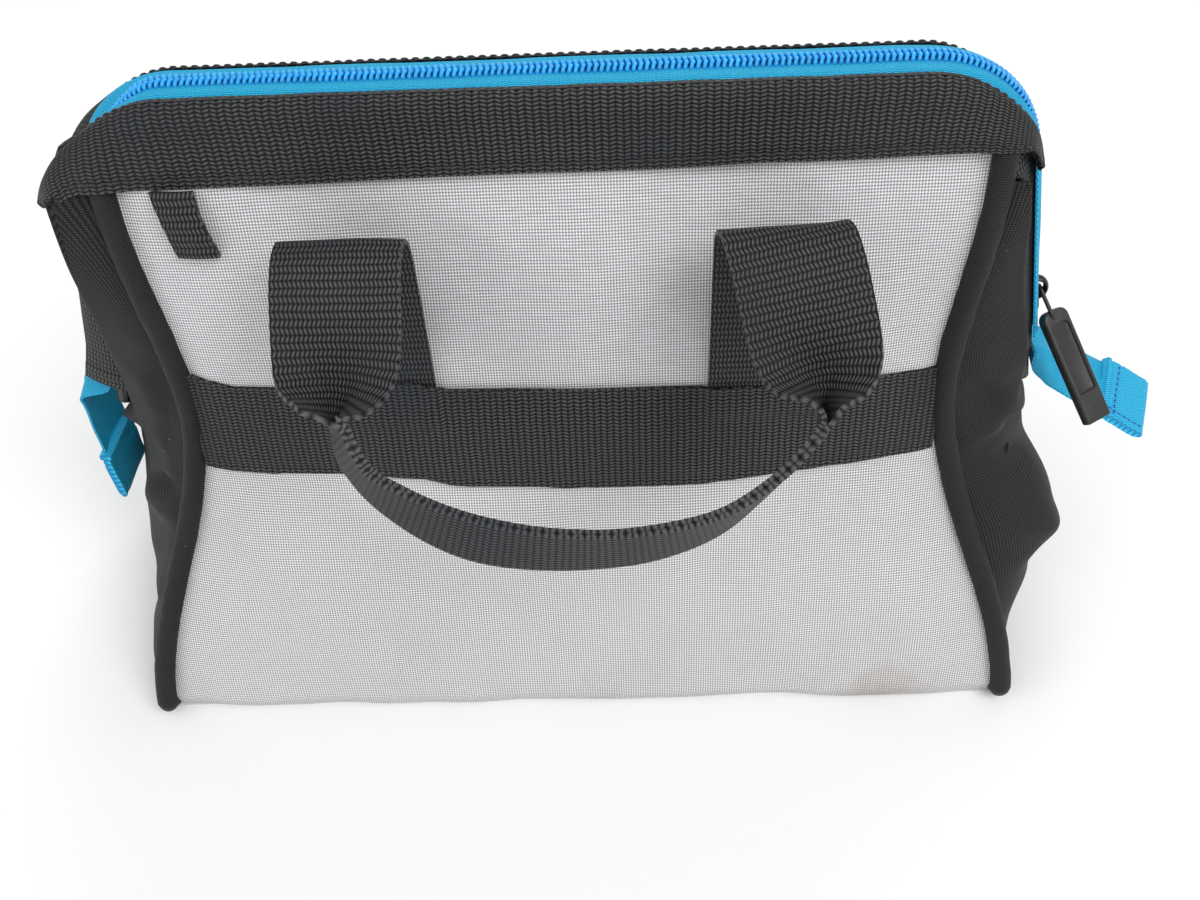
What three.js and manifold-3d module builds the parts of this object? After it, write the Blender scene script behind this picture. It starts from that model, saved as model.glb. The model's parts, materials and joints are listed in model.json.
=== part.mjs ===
import * as THREE from 'three';
import { mergeVertices } from 'three/addons/utils/BufferGeometryUtils.js';
import Module from 'manifold-3d';

// A zippered tool bag with a framed mouth. Millimetres, +Z up, the front faces -Y.
// The origin is the centre of the underside. The front and rear halves mirror each other.

// Base
const BASE_DEPTH = 170;
const BASE_HALF_WIDTH = 174;
const BASE_CORNER_RADIUS = 14;
const BASE_PANEL_THICKNESS = 1.8;
const BASE_BOARD_THICKNESS = 3;
const BASE_BOARD_INSET = 12;

// Mouth: two wire bows in a webbing band, with the zipper over them
const ZIP_HEIGHT = 235;
const WIRE_DROP = 7.5;
const WIRE_SPREAD = 9.4;
const WIRE_RADIUS = 2;
const WIRE_FOOT_HEIGHT = 114;
const MOUTH_TOP_HALF = 113.5;
const CORNER_RADIUS = 42;
const LEG_SPLAY = THREE.MathUtils.degToRad(14);
const CAP_RADIUS = 3.1;
const CAP_LENGTH = 12;
const CAP_DEPTH = 7;
const SLEEVE_RADIUS = 4.3;
const SLEEVE_START = THREE.MathUtils.degToRad(46);
const SLEEVE_CLEARANCE = 1;
const BAND_HEIGHT = 25;
const BAND_RETURN = 7;
const BAND_OUTER_HALF = 155;
const BAND_CORNER_RISE = 0.2;

// Panels, seen along their own slope from the base edge up
const PANEL_BOTTOM_HALF = 165;
const PANEL_WAIST_HALF = 128;
const PANEL_TOP_HALF = 134;
const PANEL_WAIST_AT = 145;
const PANEL_SETBACK = 9;
const PANEL_START = 3;
const PANEL_TUCK = 10;
const STRIPE_START = 107;
const WEBBING_WIDTH = 38;
const PIPING_RADIUS = 4;
const PIPING_LIFT = 1;
const HANG_LOOP_WIDTH = 13.5;
const HANG_LOOP_LENGTH = 21;
const HANG_LOOP_X = -112.5;

// Sides
const GUSSET_FOOT_HALF = 176;
const GUSSET_FOLD_HALF = 180;
const GUSSET_TOP_HALF = 174;
const GUSSET_FOLD_HEIGHT = 62;
const GUSSET_BULGE = 20;
const GUSSET_BULGE_SPREAD = 42;
const GUSSET_BULGE_FLOOR = 2.5;
const GUSSET_FLAT_WIDTH = 40;
const GUSSET_TOP_GAP = 3;
const FOLD_DROP = 10;
const FOLD_CLEAR_DROP = 2.5;
const LINING_HEIGHT = 92;
const LINING_EDGE_INSET = 24;
const LINING_INSET = 10;
const LINING_LEAN = 8;
const LINING_BOW = 6;

// Cloth
const FABRIC = 1.4;
const WEBBING = 1.6;
const GAP = 0.35;

// Zipper
const TAPE_THICKNESS = 1;
const TEETH_HALF_WIDTH = 3.55;
const TEETH_HALF_THICKNESS = 1.3;
const TAPE_SHOULDER = 9;
const TAPE_SEAT_ANGLE = THREE.MathUtils.degToRad(110);
const TEETH_SPACE = 1.2;
const ZIP_FOOT_LIFT = 9;
const TAIL_TOP_LIFT = 1.6;
const TAIL_THICKNESS = 0.8;
const TAIL_HALF_WIDTH = 12.5;
const TAIL_LENGTH = 42;
const TAIL_DROP = 14.6;
const TAIL_OUT = 11.8;
const RIGHT_TAIL_SLOPE = THREE.MathUtils.degToRad(34);
const LEFT_TAIL_SLOPE = THREE.MathUtils.degToRad(82);
const TAB_LENGTH = 27;
const TAB_HALF_WIDTH = 13.5;
const TAB_THICKNESS = 3.6;
const SLIDER_LIFT = 22.4;
const SLIDER_LENGTH = 15;
const SLIDER_HALF_WIDTH = 6;
const SLIDER_PLATE = 1.2;
const SLIDER_SLOT = 1.9;
const SLIDER_WEB = 0.6;
const BAIL_RADIUS = 4.1;
const BAIL_BAR = 1;
const PULL_LENGTH = 44;
const PULL_WIDTH = 12;
const PULL_THICKNESS = 5.5;
const PULL_RECESS = 1.2;
const PULL_RIM = 2.2;
const LINK_LENGTH = 16;
const LINK_INTO_PULL = 5;
const LINK_HALF_WIDTH = 4.7;
const LINK_BAR = 1.2;
const PULL_LEAN_OUT = THREE.MathUtils.degToRad(24);
const PULL_LEAN_FORWARD = THREE.MathUtils.degToRad(40);

// Handles
const HANDLE_LEG_X = 66.4;
const HANDLE_BEND_AT = 198.8;
const HANDLE_BEND_OFF = 17.8;
const HANDLE_ROLL_RADIUS = 2.4;
const GRIP_HEIGHT = 19;
const GRIP_THICKNESS = 4.6;
const LOOP_AT = 189;
const LOOP_OFF = 41;
const PINCH_X = 68;
const PINCH_AT = 163;
const PINCH_OFF = 55;
const GRIP_AT = 130;
const GRIP_OFF = 72;
const STRAP_THICKNESS = 2.2;

const wireTop = ZIP_HEIGHT - WIRE_DROP;
const lean = Math.atan2(BASE_DEPTH / 2 - WIRE_SPREAD, wireTop);
const slopeToWire = Math.hypot(BASE_DEPTH / 2 - WIRE_SPREAD, wireTop);
const ringOuter = WIRE_RADIUS + 2 * GAP + WEBBING;
const ringInner = WIRE_RADIUS + GAP;
const bandLow = slopeToWire + ringOuter - BAND_HEIGHT;
const stripeEnd = STRIPE_START + WEBBING_WIDTH;
const sleeveFoot = WIRE_FOOT_HEIGHT + CAP_DEPTH + SLEEVE_CLEARANCE;
const tailTop = sleeveFoot + TAIL_TOP_LIFT;
const zipFoot = sleeveFoot + ZIP_FOOT_LIFT;
const sliderHeight = tailTop + SLIDER_LIFT;

const fabricGrey = new THREE.MeshStandardMaterial({ color: 0xb9bcc6, roughness: 0.75, metalness: 0 });
const fabricBlack = new THREE.MeshStandardMaterial({ color: 0x1c1b1d, roughness: 0.85, metalness: 0 });
const webbingBlack = new THREE.MeshStandardMaterial({ color: 0x232326, roughness: 0.7, metalness: 0 });
const zipperBlue = new THREE.MeshStandardMaterial({ color: 0x1f9be6, roughness: 0.6, metalness: 0 });
const tabBlue = new THREE.MeshStandardMaterial({ color: 0x2299e0, roughness: 0.7, metalness: 0 });
const boardBlack = new THREE.MeshStandardMaterial({ color: 0x242424, roughness: 0.6, metalness: 0 });
const wireSteel = new THREE.MeshStandardMaterial({ color: 0x8d9094, roughness: 0.35, metalness: 1 });
const sliderMetal = new THREE.MeshStandardMaterial({ color: 0x1b1b1c, roughness: 0.4, metalness: 0.6 });
const pullPlastic = new THREE.MeshStandardMaterial({ color: 0x262627, roughness: 0.55, metalness: 0 });

const wasm = await Module();
wasm.setup();

const bag = new THREE.Group();

// Solids

const smooth = (t) => {
  const c = THREE.MathUtils.clamp(t, 0, 1);
  return c * c * (3 - 2 * c);
};

function signedVolume(positions, index) {
  let sum = 0;
  const a = new THREE.Vector3();
  const b = new THREE.Vector3();
  const c = new THREE.Vector3();
  for (let i = 0; i < index.length; i += 3) {
    a.fromArray(positions, index[i] * 3);
    b.fromArray(positions, index[i + 1] * 3);
    c.fromArray(positions, index[i + 2] * 3);
    sum += a.dot(b.cross(c));
  }
  return sum / 6;
}

function solid(positions, index) {
  const faces = [...index];
  if (signedVolume(positions, faces) < 0) {
    for (let i = 0; i < faces.length; i += 3) [faces[i], faces[i + 1]] = [faces[i + 1], faces[i]];
  }
  const geometry = new THREE.BufferGeometry();
  geometry.setAttribute('position', new THREE.Float32BufferAttribute(positions, 3));
  geometry.setIndex(faces);
  return geometry;
}

function mirrored(geometry) {
  const positions = Array.from(geometry.getAttribute('position').array);
  for (let i = 1; i < positions.length; i += 3) positions[i] = -positions[i];
  return solid(positions, Array.from(geometry.getIndex().array));
}

// A closed body through rings of points, each ring given with its flat outline for the end caps.
function loft(rings, outline) {
  const count = rings[0].length;
  const positions = rings.flat().flatMap((p) => [p.x, p.y, p.z]);
  const index = [];
  for (let r = 0; r + 1 < rings.length; r += 1) {
    for (let i = 0; i < count; i += 1) {
      const a = r * count + i;
      const b = r * count + (i + 1) % count;
      index.push(a, b, b + count, a, b + count, a + count);
    }
  }
  const last = (rings.length - 1) * count;
  const turned = THREE.ShapeUtils.isClockWise(outline);
  for (const [i, j, k] of THREE.ShapeUtils.triangulateShape(turned ? [...outline].reverse() : outline, [])) {
    const [a, b, c] = turned ? [count - 1 - k, count - 1 - j, count - 1 - i] : [i, j, k];
    index.push(a, c, b, last + a, last + b, last + c);
  }
  return solid(positions, index);
}

// A closed body between an outer and an inner grid of points.
function shell(outer, inner) {
  const rows = outer.length;
  const columns = outer[0].length;
  const size = rows * columns;
  const positions = [...outer.flat(), ...inner.flat()].flatMap((p) => [p.x, p.y, p.z]);
  const index = [];
  for (let r = 0; r + 1 < rows; r += 1) {
    for (let c = 0; c + 1 < columns; c += 1) {
      const a = r * columns + c;
      const b = a + 1;
      const d = a + columns;
      const e = d + 1;
      index.push(a, b, e, a, e, d);
      index.push(size + a, size + e, size + b, size + a, size + d, size + e);
    }
  }
  const rim = [];
  for (let c = 0; c + 1 < columns; c += 1) rim.push([c, c + 1]);
  for (let r = 0; r + 1 < rows; r += 1) rim.push([(r + 1) * columns - 1, (r + 2) * columns - 1]);
  for (let c = columns - 1; c > 0; c -= 1) rim.push([(rows - 1) * columns + c, (rows - 1) * columns + c - 1]);
  for (let r = rows - 1; r > 0; r -= 1) rim.push([r * columns, (r - 1) * columns]);
  for (const [a, b] of rim) index.push(a, size + a, size + b, a, size + b, b);
  return solid(positions, index);
}

function toManifold(geometry) {
  const bare = geometry.clone();
  bare.deleteAttribute('normal');
  bare.deleteAttribute('uv');
  const merged = mergeVertices(bare, 1e-4);
  return new wasm.Manifold(new wasm.Mesh({
    numProp: 3,
    vertProperties: Float32Array.from(merged.getAttribute('position').array),
    triVerts: Uint32Array.from(merged.getIndex().array),
  }));
}

function fromManifold(body) {
  const mesh = body.getMesh();
  const geometry = new THREE.BufferGeometry();
  geometry.setAttribute('position', new THREE.Float32BufferAttribute(Array.from(mesh.vertProperties), 3));
  geometry.setIndex(Array.from(mesh.triVerts));
  return geometry;
}

const joined = (...pieces) => fromManifold(pieces.map(toManifold).reduce((a, b) => a.add(b)));
const cut = (piece, tool) => fromManifold(toManifold(piece).subtract(toManifold(tool)));

function box(x0, x1, y0, y1, z0, z1) {
  const geometry = new THREE.BoxGeometry(x1 - x0, y1 - y0, z1 - z0);
  geometry.translate((x0 + x1) / 2, (y0 + y1) / 2, (z0 + z1) / 2);
  return geometry;
}

function add(name, geometry, material, place = (mesh) => mesh) {
  const mesh = new THREE.Mesh(geometry, material);
  mesh.name = name;
  bag.add(place(mesh));
}

function addBothHalves(name, geometry, material) {
  add(`front_${name}`, geometry, material);
  add(`rear_${name}`, mirrored(geometry), material);
}

// The front panel's surface: x across, s up the slope, off outwards from it.

function panelHalf(s) {
  if (s < PANEL_WAIST_AT) {
    const t = smooth(1 - s / PANEL_WAIST_AT);
    return PANEL_WAIST_HALF + (PANEL_BOTTOM_HALF - PANEL_WAIST_HALF) * t;
  }
  const t = smooth((s - PANEL_WAIST_AT) / (bandLow - PANEL_WAIST_AT));
  return PANEL_WAIST_HALF + (PANEL_TOP_HALF - PANEL_WAIST_HALF) * t;
}

function panelPoint(x, s, off) {
  const rise = Math.sin(Math.PI * THREE.MathUtils.clamp(s / bandLow, 0, 1));
  const across = Math.min(Math.abs(x) / panelHalf(s), 1.1);
  const out = off - PANEL_SETBACK * rise * rise * across ** 3;
  return new THREE.Vector3(
    x,
    -BASE_DEPTH / 2 + Math.sin(lean) * s - Math.cos(lean) * out,
    Math.cos(lean) * s + Math.sin(lean) * out,
  );
}

function panelPatch(halfAt, s0, s1, offInner, thickness, rows, columns) {
  const grid = (off) => Array.from({ length: rows + 1 }, (_, r) => {
    const s = s0 + (s1 - s0) * r / rows;
    return Array.from({ length: columns + 1 }, (__, c) => panelPoint(halfAt(s) * (2 * c / columns - 1), s, off));
  });
  return shell(grid(offInner + thickness), grid(offInner));
}

// The mouth's outline, from the left foot over the top to the right foot, at a depth inside the zipper line.

function mouthOutline(depth, footHeight, arcFrom = Math.PI / 2, arcSteps = 7, side = 0) {
  const radius = CORNER_RADIUS - depth;
  const centreHeight = ZIP_HEIGHT - CORNER_RADIUS;
  const leg = [];
  for (let i = 0; i <= arcSteps; i += 1) {
    const a = arcFrom + (LEG_SPLAY - arcFrom) * i / arcSteps;
    leg.push([MOUTH_TOP_HALF + radius * Math.cos(a), centreHeight + radius * Math.sin(a), a]);
  }
  const [endX, endZ] = leg[leg.length - 1];
  leg.push([endX + (endZ - footHeight) * Math.tan(LEG_SPLAY), footHeight, LEG_SPLAY]);
  if (side > 0) return leg;
  const left = leg.map(([x, z, a]) => [-x, z, Math.PI - a]).reverse();
  return side < 0 ? left.reverse() : [...left, ...leg];
}

const wireY = () => -WIRE_SPREAD;

// Sweep a section, given as [outward, y] pairs, along an outline of [x, z, direction outwards].
function sweep(outline, section, yAt = () => 0) {
  const rings = outline.map(([x, z, a]) => section.map(([n, y]) => (
    new THREE.Vector3(x + n * Math.cos(a), y + yAt(z), z + n * Math.sin(a))
  )));
  return loft(rings, section.map(([n, y]) => new THREE.Vector2(n, y)));
}

const circle = (radius, steps) => Array.from({ length: steps }, (_, i) => [
  radius * Math.cos(2 * Math.PI * i / steps),
  radius * Math.sin(2 * Math.PI * i / steps),
]);

// Base

function roundedPlate(halfX, halfY, radius, z0, thickness) {
  const shape = new THREE.Shape();
  shape.absarc(halfX - radius, halfY - radius, radius, 0, Math.PI / 2);
  shape.absarc(radius - halfX, halfY - radius, radius, Math.PI / 2, Math.PI);
  shape.absarc(radius - halfX, radius - halfY, radius, Math.PI, 1.5 * Math.PI);
  shape.absarc(halfX - radius, radius - halfY, radius, 1.5 * Math.PI, 2 * Math.PI);
  const geometry = new THREE.ExtrudeGeometry(shape, { depth: thickness, bevelEnabled: false, curveSegments: 5 });
  geometry.translate(0, 0, z0);
  return geometry;
}

const boardBottom = BASE_PANEL_THICKNESS + GAP;
const boardTop = boardBottom + BASE_BOARD_THICKNESS;
add('base_panel', roundedPlate(BASE_HALF_WIDTH, BASE_DEPTH / 2 - 1, BASE_CORNER_RADIUS, 0, BASE_PANEL_THICKNESS),
  fabricBlack);
add('base_board', roundedPlate(BASE_HALF_WIDTH - BASE_BOARD_INSET, BASE_DEPTH / 2 - BASE_BOARD_INSET / 2,
  BASE_CORNER_RADIUS - 2, boardBottom, BASE_BOARD_THICKNESS), boardBlack);

// Panels with their stripe, piping and hang loop

addBothHalves('panel', panelPatch(panelHalf, PANEL_START, bandLow + PANEL_TUCK, 0, FABRIC, 18, 12), fabricGrey);
addBothHalves('stripe', panelPatch((s) => panelHalf(s) - GAP - 1, STRIPE_START, stripeEnd, FABRIC + GAP, WEBBING,
  4, 12), webbingBlack);

function piping(side) {
  const steps = 22;
  const rings = Array.from({ length: steps + 1 }, (_, i) => {
    const s = 2 * PANEL_START + (bandLow - GAP - 2 * PANEL_START) * i / steps;
    const centre = panelHalf(s) + PIPING_RADIUS + GAP;
    return circle(PIPING_RADIUS, 8).map(([u, v]) => panelPoint(side * (centre + u), s, PIPING_LIFT + v));
  });
  return loft(rings, circle(PIPING_RADIUS, 8).map(([u, v]) => new THREE.Vector2(u, v)));
}

addBothHalves('left_piping', piping(-1), fabricBlack);
addBothHalves('right_piping', piping(1), fabricBlack);

function strip(x0, x1, s0, s1, off, thickness) {
  const corners = [[x0, off], [x1, off], [x1, off + thickness], [x0, off + thickness]];
  const rings = [s0, (s0 + s1) / 2, s1].map((s) => corners.map(([x, o]) => panelPoint(x, s, o)));
  return loft(rings, corners.map(([x, o]) => new THREE.Vector2(x, o)));
}

add('hang_loop', strip(HANG_LOOP_X - HANG_LOOP_WIDTH / 2, HANG_LOOP_X + HANG_LOOP_WIDTH / 2,
  bandLow - GAP - HANG_LOOP_LENGTH, bandLow - GAP, FABRIC + GAP, 2 * WEBBING), webbingBlack);

// Band: webbing folded over the wire along the top, with a flap that rounds the corners

function band() {
  const half = MOUTH_TOP_HALF;
  const steps = 8;
  const section = [[ringOuter, -BAND_RETURN]];
  for (let i = 0; i <= steps; i += 1) {
    section.push([ringOuter * Math.cos(Math.PI * i / steps), ringOuter * Math.sin(Math.PI * i / steps)]);
  }
  section.push([-ringOuter, -BAND_RETURN], [-ringInner, -BAND_RETURN]);
  for (let i = steps; i >= 0; i -= 1) {
    section.push([ringInner * Math.cos(Math.PI * i / steps), ringInner * Math.sin(Math.PI * i / steps)]);
  }
  section.push([ringInner, -BAND_RETURN]);
  const bandPoint = (x, s, off) => panelPoint(0, s, off).setX(x);
  const over = loft([-half, half].map((x) => section.map(([off, s]) => bandPoint(x, slopeToWire + s, off))),
    section.map(([off, s]) => new THREE.Vector2(off, s)));
  const top = slopeToWire + BAND_CORNER_RISE;
  const right = Array.from({ length: 7 }, (_, i) => {
    const a = Math.PI / 2 * (1 - i / 6);
    return [half + (BAND_OUTER_HALF - half) * Math.cos(a), bandLow + (top - bandLow) * Math.sin(a) ** 1.2];
  });
  const flap = [...right.map(([x, s]) => [-x, s]), ...right.reverse()];
  const face = loft([ringInner + 0.12, ringOuter - 0.12].map((off) => flap.map(([x, s]) => bandPoint(x, s, off))),
    flap.map(([x, s]) => new THREE.Vector2(x, s)));
  return joined(over, face);
}

addBothHalves('band', band(), webbingBlack);

// Wire bows with their end caps and the sleeves on their legs

addBothHalves('frame_wire', sweep(mouthOutline(WIRE_DROP, WIRE_FOOT_HEIGHT), circle(WIRE_RADIUS, 8), wireY),
  wireSteel);

// A tube along one leg, open at both ends.
function legTube(side, arcFrom, footHeight, outer, inner) {
  const count = 12;
  const outline = mouthOutline(WIRE_DROP, footHeight, arcFrom, 5, side);
  const section = [...circle(outer, count), ...circle(inner, count)];
  const positions = outline.flatMap(([x, z, a]) => section.flatMap(([n, y]) => (
    [x + n * Math.cos(a), y + wireY(z), z + n * Math.sin(a)]
  )));
  const index = [];
  const quad = (a, b, c, d) => index.push(a, b, c, a, c, d);
  const last = (outline.length - 1) * 2 * count;
  for (let i = 0; i < count; i += 1) {
    const j = (i + 1) % count;
    for (let r = 0; r < last; r += 2 * count) {
      quad(r + i, r + j, r + j + 2 * count, r + i + 2 * count);
      quad(r + count + j, r + count + i, r + 3 * count + i, r + 3 * count + j);
    }
    quad(j, i, count + i, count + j);
    quad(last + i, last + j, last + count + j, last + count + i);
  }
  return solid(positions, index);
}

function wireCap(side) {
  const outline = mouthOutline(WIRE_DROP, WIRE_FOOT_HEIGHT, Math.PI / 2, 7, side);
  const [x, z] = outline[outline.length - 1];
  const profile = [
    [0, -CAP_LENGTH + CAP_DEPTH], [CAP_RADIUS - 1, -CAP_LENGTH + CAP_DEPTH], [CAP_RADIUS, 1 - CAP_LENGTH + CAP_DEPTH],
    [CAP_RADIUS, CAP_DEPTH], [WIRE_RADIUS + GAP, CAP_DEPTH], [WIRE_RADIUS + GAP, -GAP], [0, -GAP],
  ].map(([r, h]) => new THREE.Vector2(r, h));
  const cap = new THREE.LatheGeometry(profile, 12);
  cap.rotateX(Math.PI / 2);
  cap.rotateY(-side * LEG_SPLAY);
  cap.translate(x, wireY(z), z);
  return fromManifold(toManifold(cap));
}

for (const [word, side] of [['left', -1], ['right', 1]]) {
  addBothHalves(`${word}_sleeve`, legTube(side, SLEEVE_START, sleeveFoot, SLEEVE_RADIUS,
    WIRE_RADIUS + GAP), webbingBlack);
  addBothHalves(`${word}_wire_cap`, wireCap(side), pullPlastic);
}

// Zipper: a tape and a row of teeth on each bow

const tapeReach = ringOuter + GAP + TAPE_THICKNESS / 3;
const seatN = WIRE_DROP - tapeReach * Math.sin(TAPE_SEAT_ANGLE);
const seatY = WIRE_SPREAD - tapeReach * Math.cos(TAPE_SEAT_ANGLE);
const tapeHalf = TAPE_THICKNESS / 2;
const tapeEdge = TEETH_HALF_WIDTH + GAP;
addBothHalves('zipper_tape', sweep(mouthOutline(0, zipFoot), [
  [tapeHalf, -tapeEdge], [tapeHalf, -TAPE_SHOULDER - tapeHalf], [-seatN + tapeHalf, -seatY - tapeHalf],
  [-seatN - tapeHalf / 2, -seatY + tapeHalf / 2], [-tapeHalf, -TAPE_SHOULDER + tapeHalf], [-tapeHalf, -tapeEdge],
]), zipperBlue);
addBothHalves('zipper_teeth', sweep(mouthOutline(0, zipFoot), [
  [TEETH_HALF_THICKNESS, -TEETH_SPACE / 2], [TEETH_HALF_THICKNESS, -TEETH_HALF_WIDTH],
  [-TEETH_HALF_THICKNESS, -TEETH_HALF_WIDTH], [-TEETH_HALF_THICKNESS, -TEETH_SPACE / 2],
]), zipperBlue);

// The joined tails of the tapes hang out of the sides, each ending in a folded sleeve

const tailDepth = WIRE_DROP - SLEEVE_RADIUS - GAP - TAIL_THICKNESS / 2;
const zipX = (z, depth = 0) => {
  const [x, endZ] = mouthOutline(depth, z, LEG_SPLAY, 1, 1)[1];
  return x + (endZ - z) * Math.tan(LEG_SPLAY);
};

function tailPath(slope) {
  const tailHeight = tailTop - TAIL_DROP;
  const tailX = zipX(tailHeight, tailDepth) + TAIL_OUT;
  const end = [tailX + TAIL_LENGTH * Math.cos(slope), tailHeight - TAIL_LENGTH * Math.sin(slope)];
  const bend = new THREE.CubicBezierCurve3(
    new THREE.Vector3(zipX(tailTop, tailDepth), 0, tailTop),
    new THREE.Vector3(zipX(tailTop - TAIL_DROP / 3, tailDepth), 0, tailTop - TAIL_DROP / 3),
    new THREE.Vector3(tailX - TAIL_DROP / 4 * Math.cos(slope), 0, tailHeight + TAIL_DROP / 4 * Math.sin(slope)),
    new THREE.Vector3(tailX, 0, tailHeight),
  );
  const points = bend.getPoints(6).map((q) => [q.x, q.z]);
  const middle = [(tailX + end[0]) / 2, (tailHeight + end[1]) / 2];
  return [...points, middle, end];
}

function tail(side, path) {
  const half = TAIL_THICKNESS / 2;
  const rings = path.map(([x, z], i) => {
    const [x0, z0] = path[Math.max(i - 1, 0)];
    const [x1, z1] = path[Math.min(i + 1, path.length - 1)];
    const length = Math.hypot(x1 - x0, z1 - z0);
    const [nx, nz] = [(z0 - z1) / length * half, (x1 - x0) / length * half];
    return [[-1, -1], [1, -1], [1, 1], [-1, 1]].map(([n, y]) => (
      new THREE.Vector3(side * (x + n * nx), y * TAIL_HALF_WIDTH, z + n * nz)
    ));
  });
  return loft(rings, [[-1, -1], [1, -1], [1, 1], [-1, 1]].map(([n, y]) => new THREE.Vector2(n, y)));
}

function endTab(side, path, slope) {
  const pocket = TAB_LENGTH / 2;
  const block = box(0, TAB_LENGTH, -TAB_HALF_WIDTH, TAB_HALF_WIDTH, -TAB_THICKNESS / 2, TAB_THICKNESS / 2);
  const slot = box(-1, pocket + GAP, -TAIL_HALF_WIDTH - GAP, TAIL_HALF_WIDTH + GAP,
    -TAIL_THICKNESS / 2 - GAP, TAIL_THICKNESS / 2 + GAP);
  const tab = cut(block, slot);
  const [x, z] = path[path.length - 1];
  tab.translate(-pocket, 0, 0);
  tab.rotateY(slope);
  tab.translate(x, 0, z);
  if (side < 0) tab.rotateZ(Math.PI);
  return tab;
}

const tails = [
  ['left', -1, LEFT_TAIL_SLOPE, tailPath(LEFT_TAIL_SLOPE)],
  ['right', 1, RIGHT_TAIL_SLOPE, tailPath(RIGHT_TAIL_SLOPE)],
];
for (const [word, side, slope, path] of tails) {
  add(`${word}_zipper_tail`, tail(side, path), zipperBlue);
  add(`${word}_end_tab`, endTab(side, path, slope), tabBlue);
}

// Slider with its bail, and the pull hanging from it. Local axes: x out of the bag, y back, z up the leg.

function rod(points, radius, sides) {
  const path = new THREE.CatmullRomCurve3(points.map((q) => new THREE.Vector3(...q)));
  const disc = new THREE.Shape();
  circle(radius, sides).forEach(([u, v], i) => (i ? disc.lineTo(u, v) : disc.moveTo(u, v)));
  disc.closePath();
  return new THREE.ExtrudeGeometry(disc, { extrudePath: path, steps: 3 * (points.length - 1), bevelEnabled: false });
}

const plateOuter = SLIDER_SLOT + SLIDER_PLATE;

function slider() {
  const half = SLIDER_LENGTH / 2;
  const plate = (x0) => box(x0, x0 + SLIDER_PLATE, -SLIDER_HALF_WIDTH, SLIDER_HALF_WIDTH, -half, half);
  const web = box(-plateOuter + 0.2, plateOuter - 0.2, -SLIDER_WEB / 2, SLIDER_WEB / 2, half / 2, half - 0.4);
  const bail = rod(Array.from({ length: 7 }, (_, i) => {
    const a = Math.PI * i / 6;
    return [plateOuter - 0.5 + BAIL_RADIUS * Math.sin(a), 0, BAIL_RADIUS * Math.cos(a)];
  }), BAIL_BAR, 8);
  const body = joined(plate(SLIDER_SLOT), plate(-plateOuter), web, bail);
  body.rotateY(-LEG_SPLAY);
  body.translate(zipX(sliderHeight), 0, sliderHeight);
  return body;
}

add('slider', slider(), sliderMetal);

const pivotOut = plateOuter + LINK_BAR + GAP;
const pullPivot = new THREE.Vector3(
  zipX(sliderHeight) + pivotOut * Math.cos(LEG_SPLAY), 0, sliderHeight + pivotOut * Math.sin(LEG_SPLAY),
);
const pullDown = new THREE.Vector3(
  Math.sin(PULL_LEAN_OUT) * Math.cos(PULL_LEAN_FORWARD), -Math.sin(PULL_LEAN_FORWARD),
  -Math.cos(PULL_LEAN_OUT) * Math.cos(PULL_LEAN_FORWARD),
);
const pullAcross = new THREE.Vector3(0, 1, 0).addScaledVector(pullDown, -pullDown.y).normalize();
const pullPlace = new THREE.Matrix4().makeBasis(
  pullAcross, new THREE.Vector3().crossVectors(pullDown.clone().negate(), pullAcross), pullDown.clone().negate(),
).setPosition(pullPivot);

function link() {
  const half = LINK_BAR / 2;
  const plate = box(-LINK_HALF_WIDTH, LINK_HALF_WIDTH, -half, half, -LINK_LENGTH, half);
  const eye = box(LINK_BAR - LINK_HALF_WIDTH, LINK_HALF_WIDTH - LINK_BAR, -LINK_BAR, LINK_BAR,
    2 * LINK_BAR - LINK_LENGTH, -half);
  const ring = cut(plate, eye);
  ring.applyMatrix4(pullPlace);
  return ring;
}

const pullTop = LINK_INTO_PULL - LINK_LENGTH;

function pull() {
  const radius = PULL_WIDTH / 2;
  const half = PULL_THICKNESS / 2;
  const outline = [];
  for (let i = 0; i <= 8; i += 1) {
    const a = Math.PI * i / 8;
    outline.push([radius * Math.cos(a), pullTop - radius + radius * Math.sin(a)]);
  }
  const low = pullTop - PULL_LENGTH;
  outline.push([-radius, low + 1], [1 - radius, low], [radius - 1, low], [radius, low + 1]);
  const inset = outline.map(([x, z]) => [x * (1 - 0.9 / radius), THREE.MathUtils.clamp(z, low + 0.9, pullTop - 0.9)]);
  const ring = (points, y) => points.map(([x, z]) => new THREE.Vector3(x, y, z));
  const body = loft([ring(inset, -half), ring(outline, 0.9 - half), ring(outline, half - 0.9), ring(inset, half)],
    outline.map(([x, z]) => new THREE.Vector2(x, z)));
  const well = radius - PULL_RIM;
  const wellTop = pullTop - radius - 3;
  const recess = box(-well, well, -half - 1, PULL_RECESS - half, low + PULL_RIM + 1, wellTop);
  const slot = box(-LINK_HALF_WIDTH - GAP, LINK_HALF_WIDTH + GAP, -LINK_BAR / 2 - GAP, LINK_BAR / 2 + GAP,
    -LINK_LENGTH - GAP, pullTop + 1);
  const whole = cut(fromManifold(toManifold(body).subtract(toManifold(recess))), slot);
  whole.applyMatrix4(pullPlace);
  return whole;
}

add('pull_link', link(), sliderMetal);
add('zipper_pull', pull(), pullPlastic);

// Sides: each half gusset runs from the panel's piping to the middle of the side, bulging between

const capFoot = WIRE_FOOT_HEIGHT - CAP_LENGTH + CAP_DEPTH;
const foldTop = capFoot - FOLD_DROP;
const foldClear = capFoot - FOLD_CLEAR_DROP;

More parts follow.
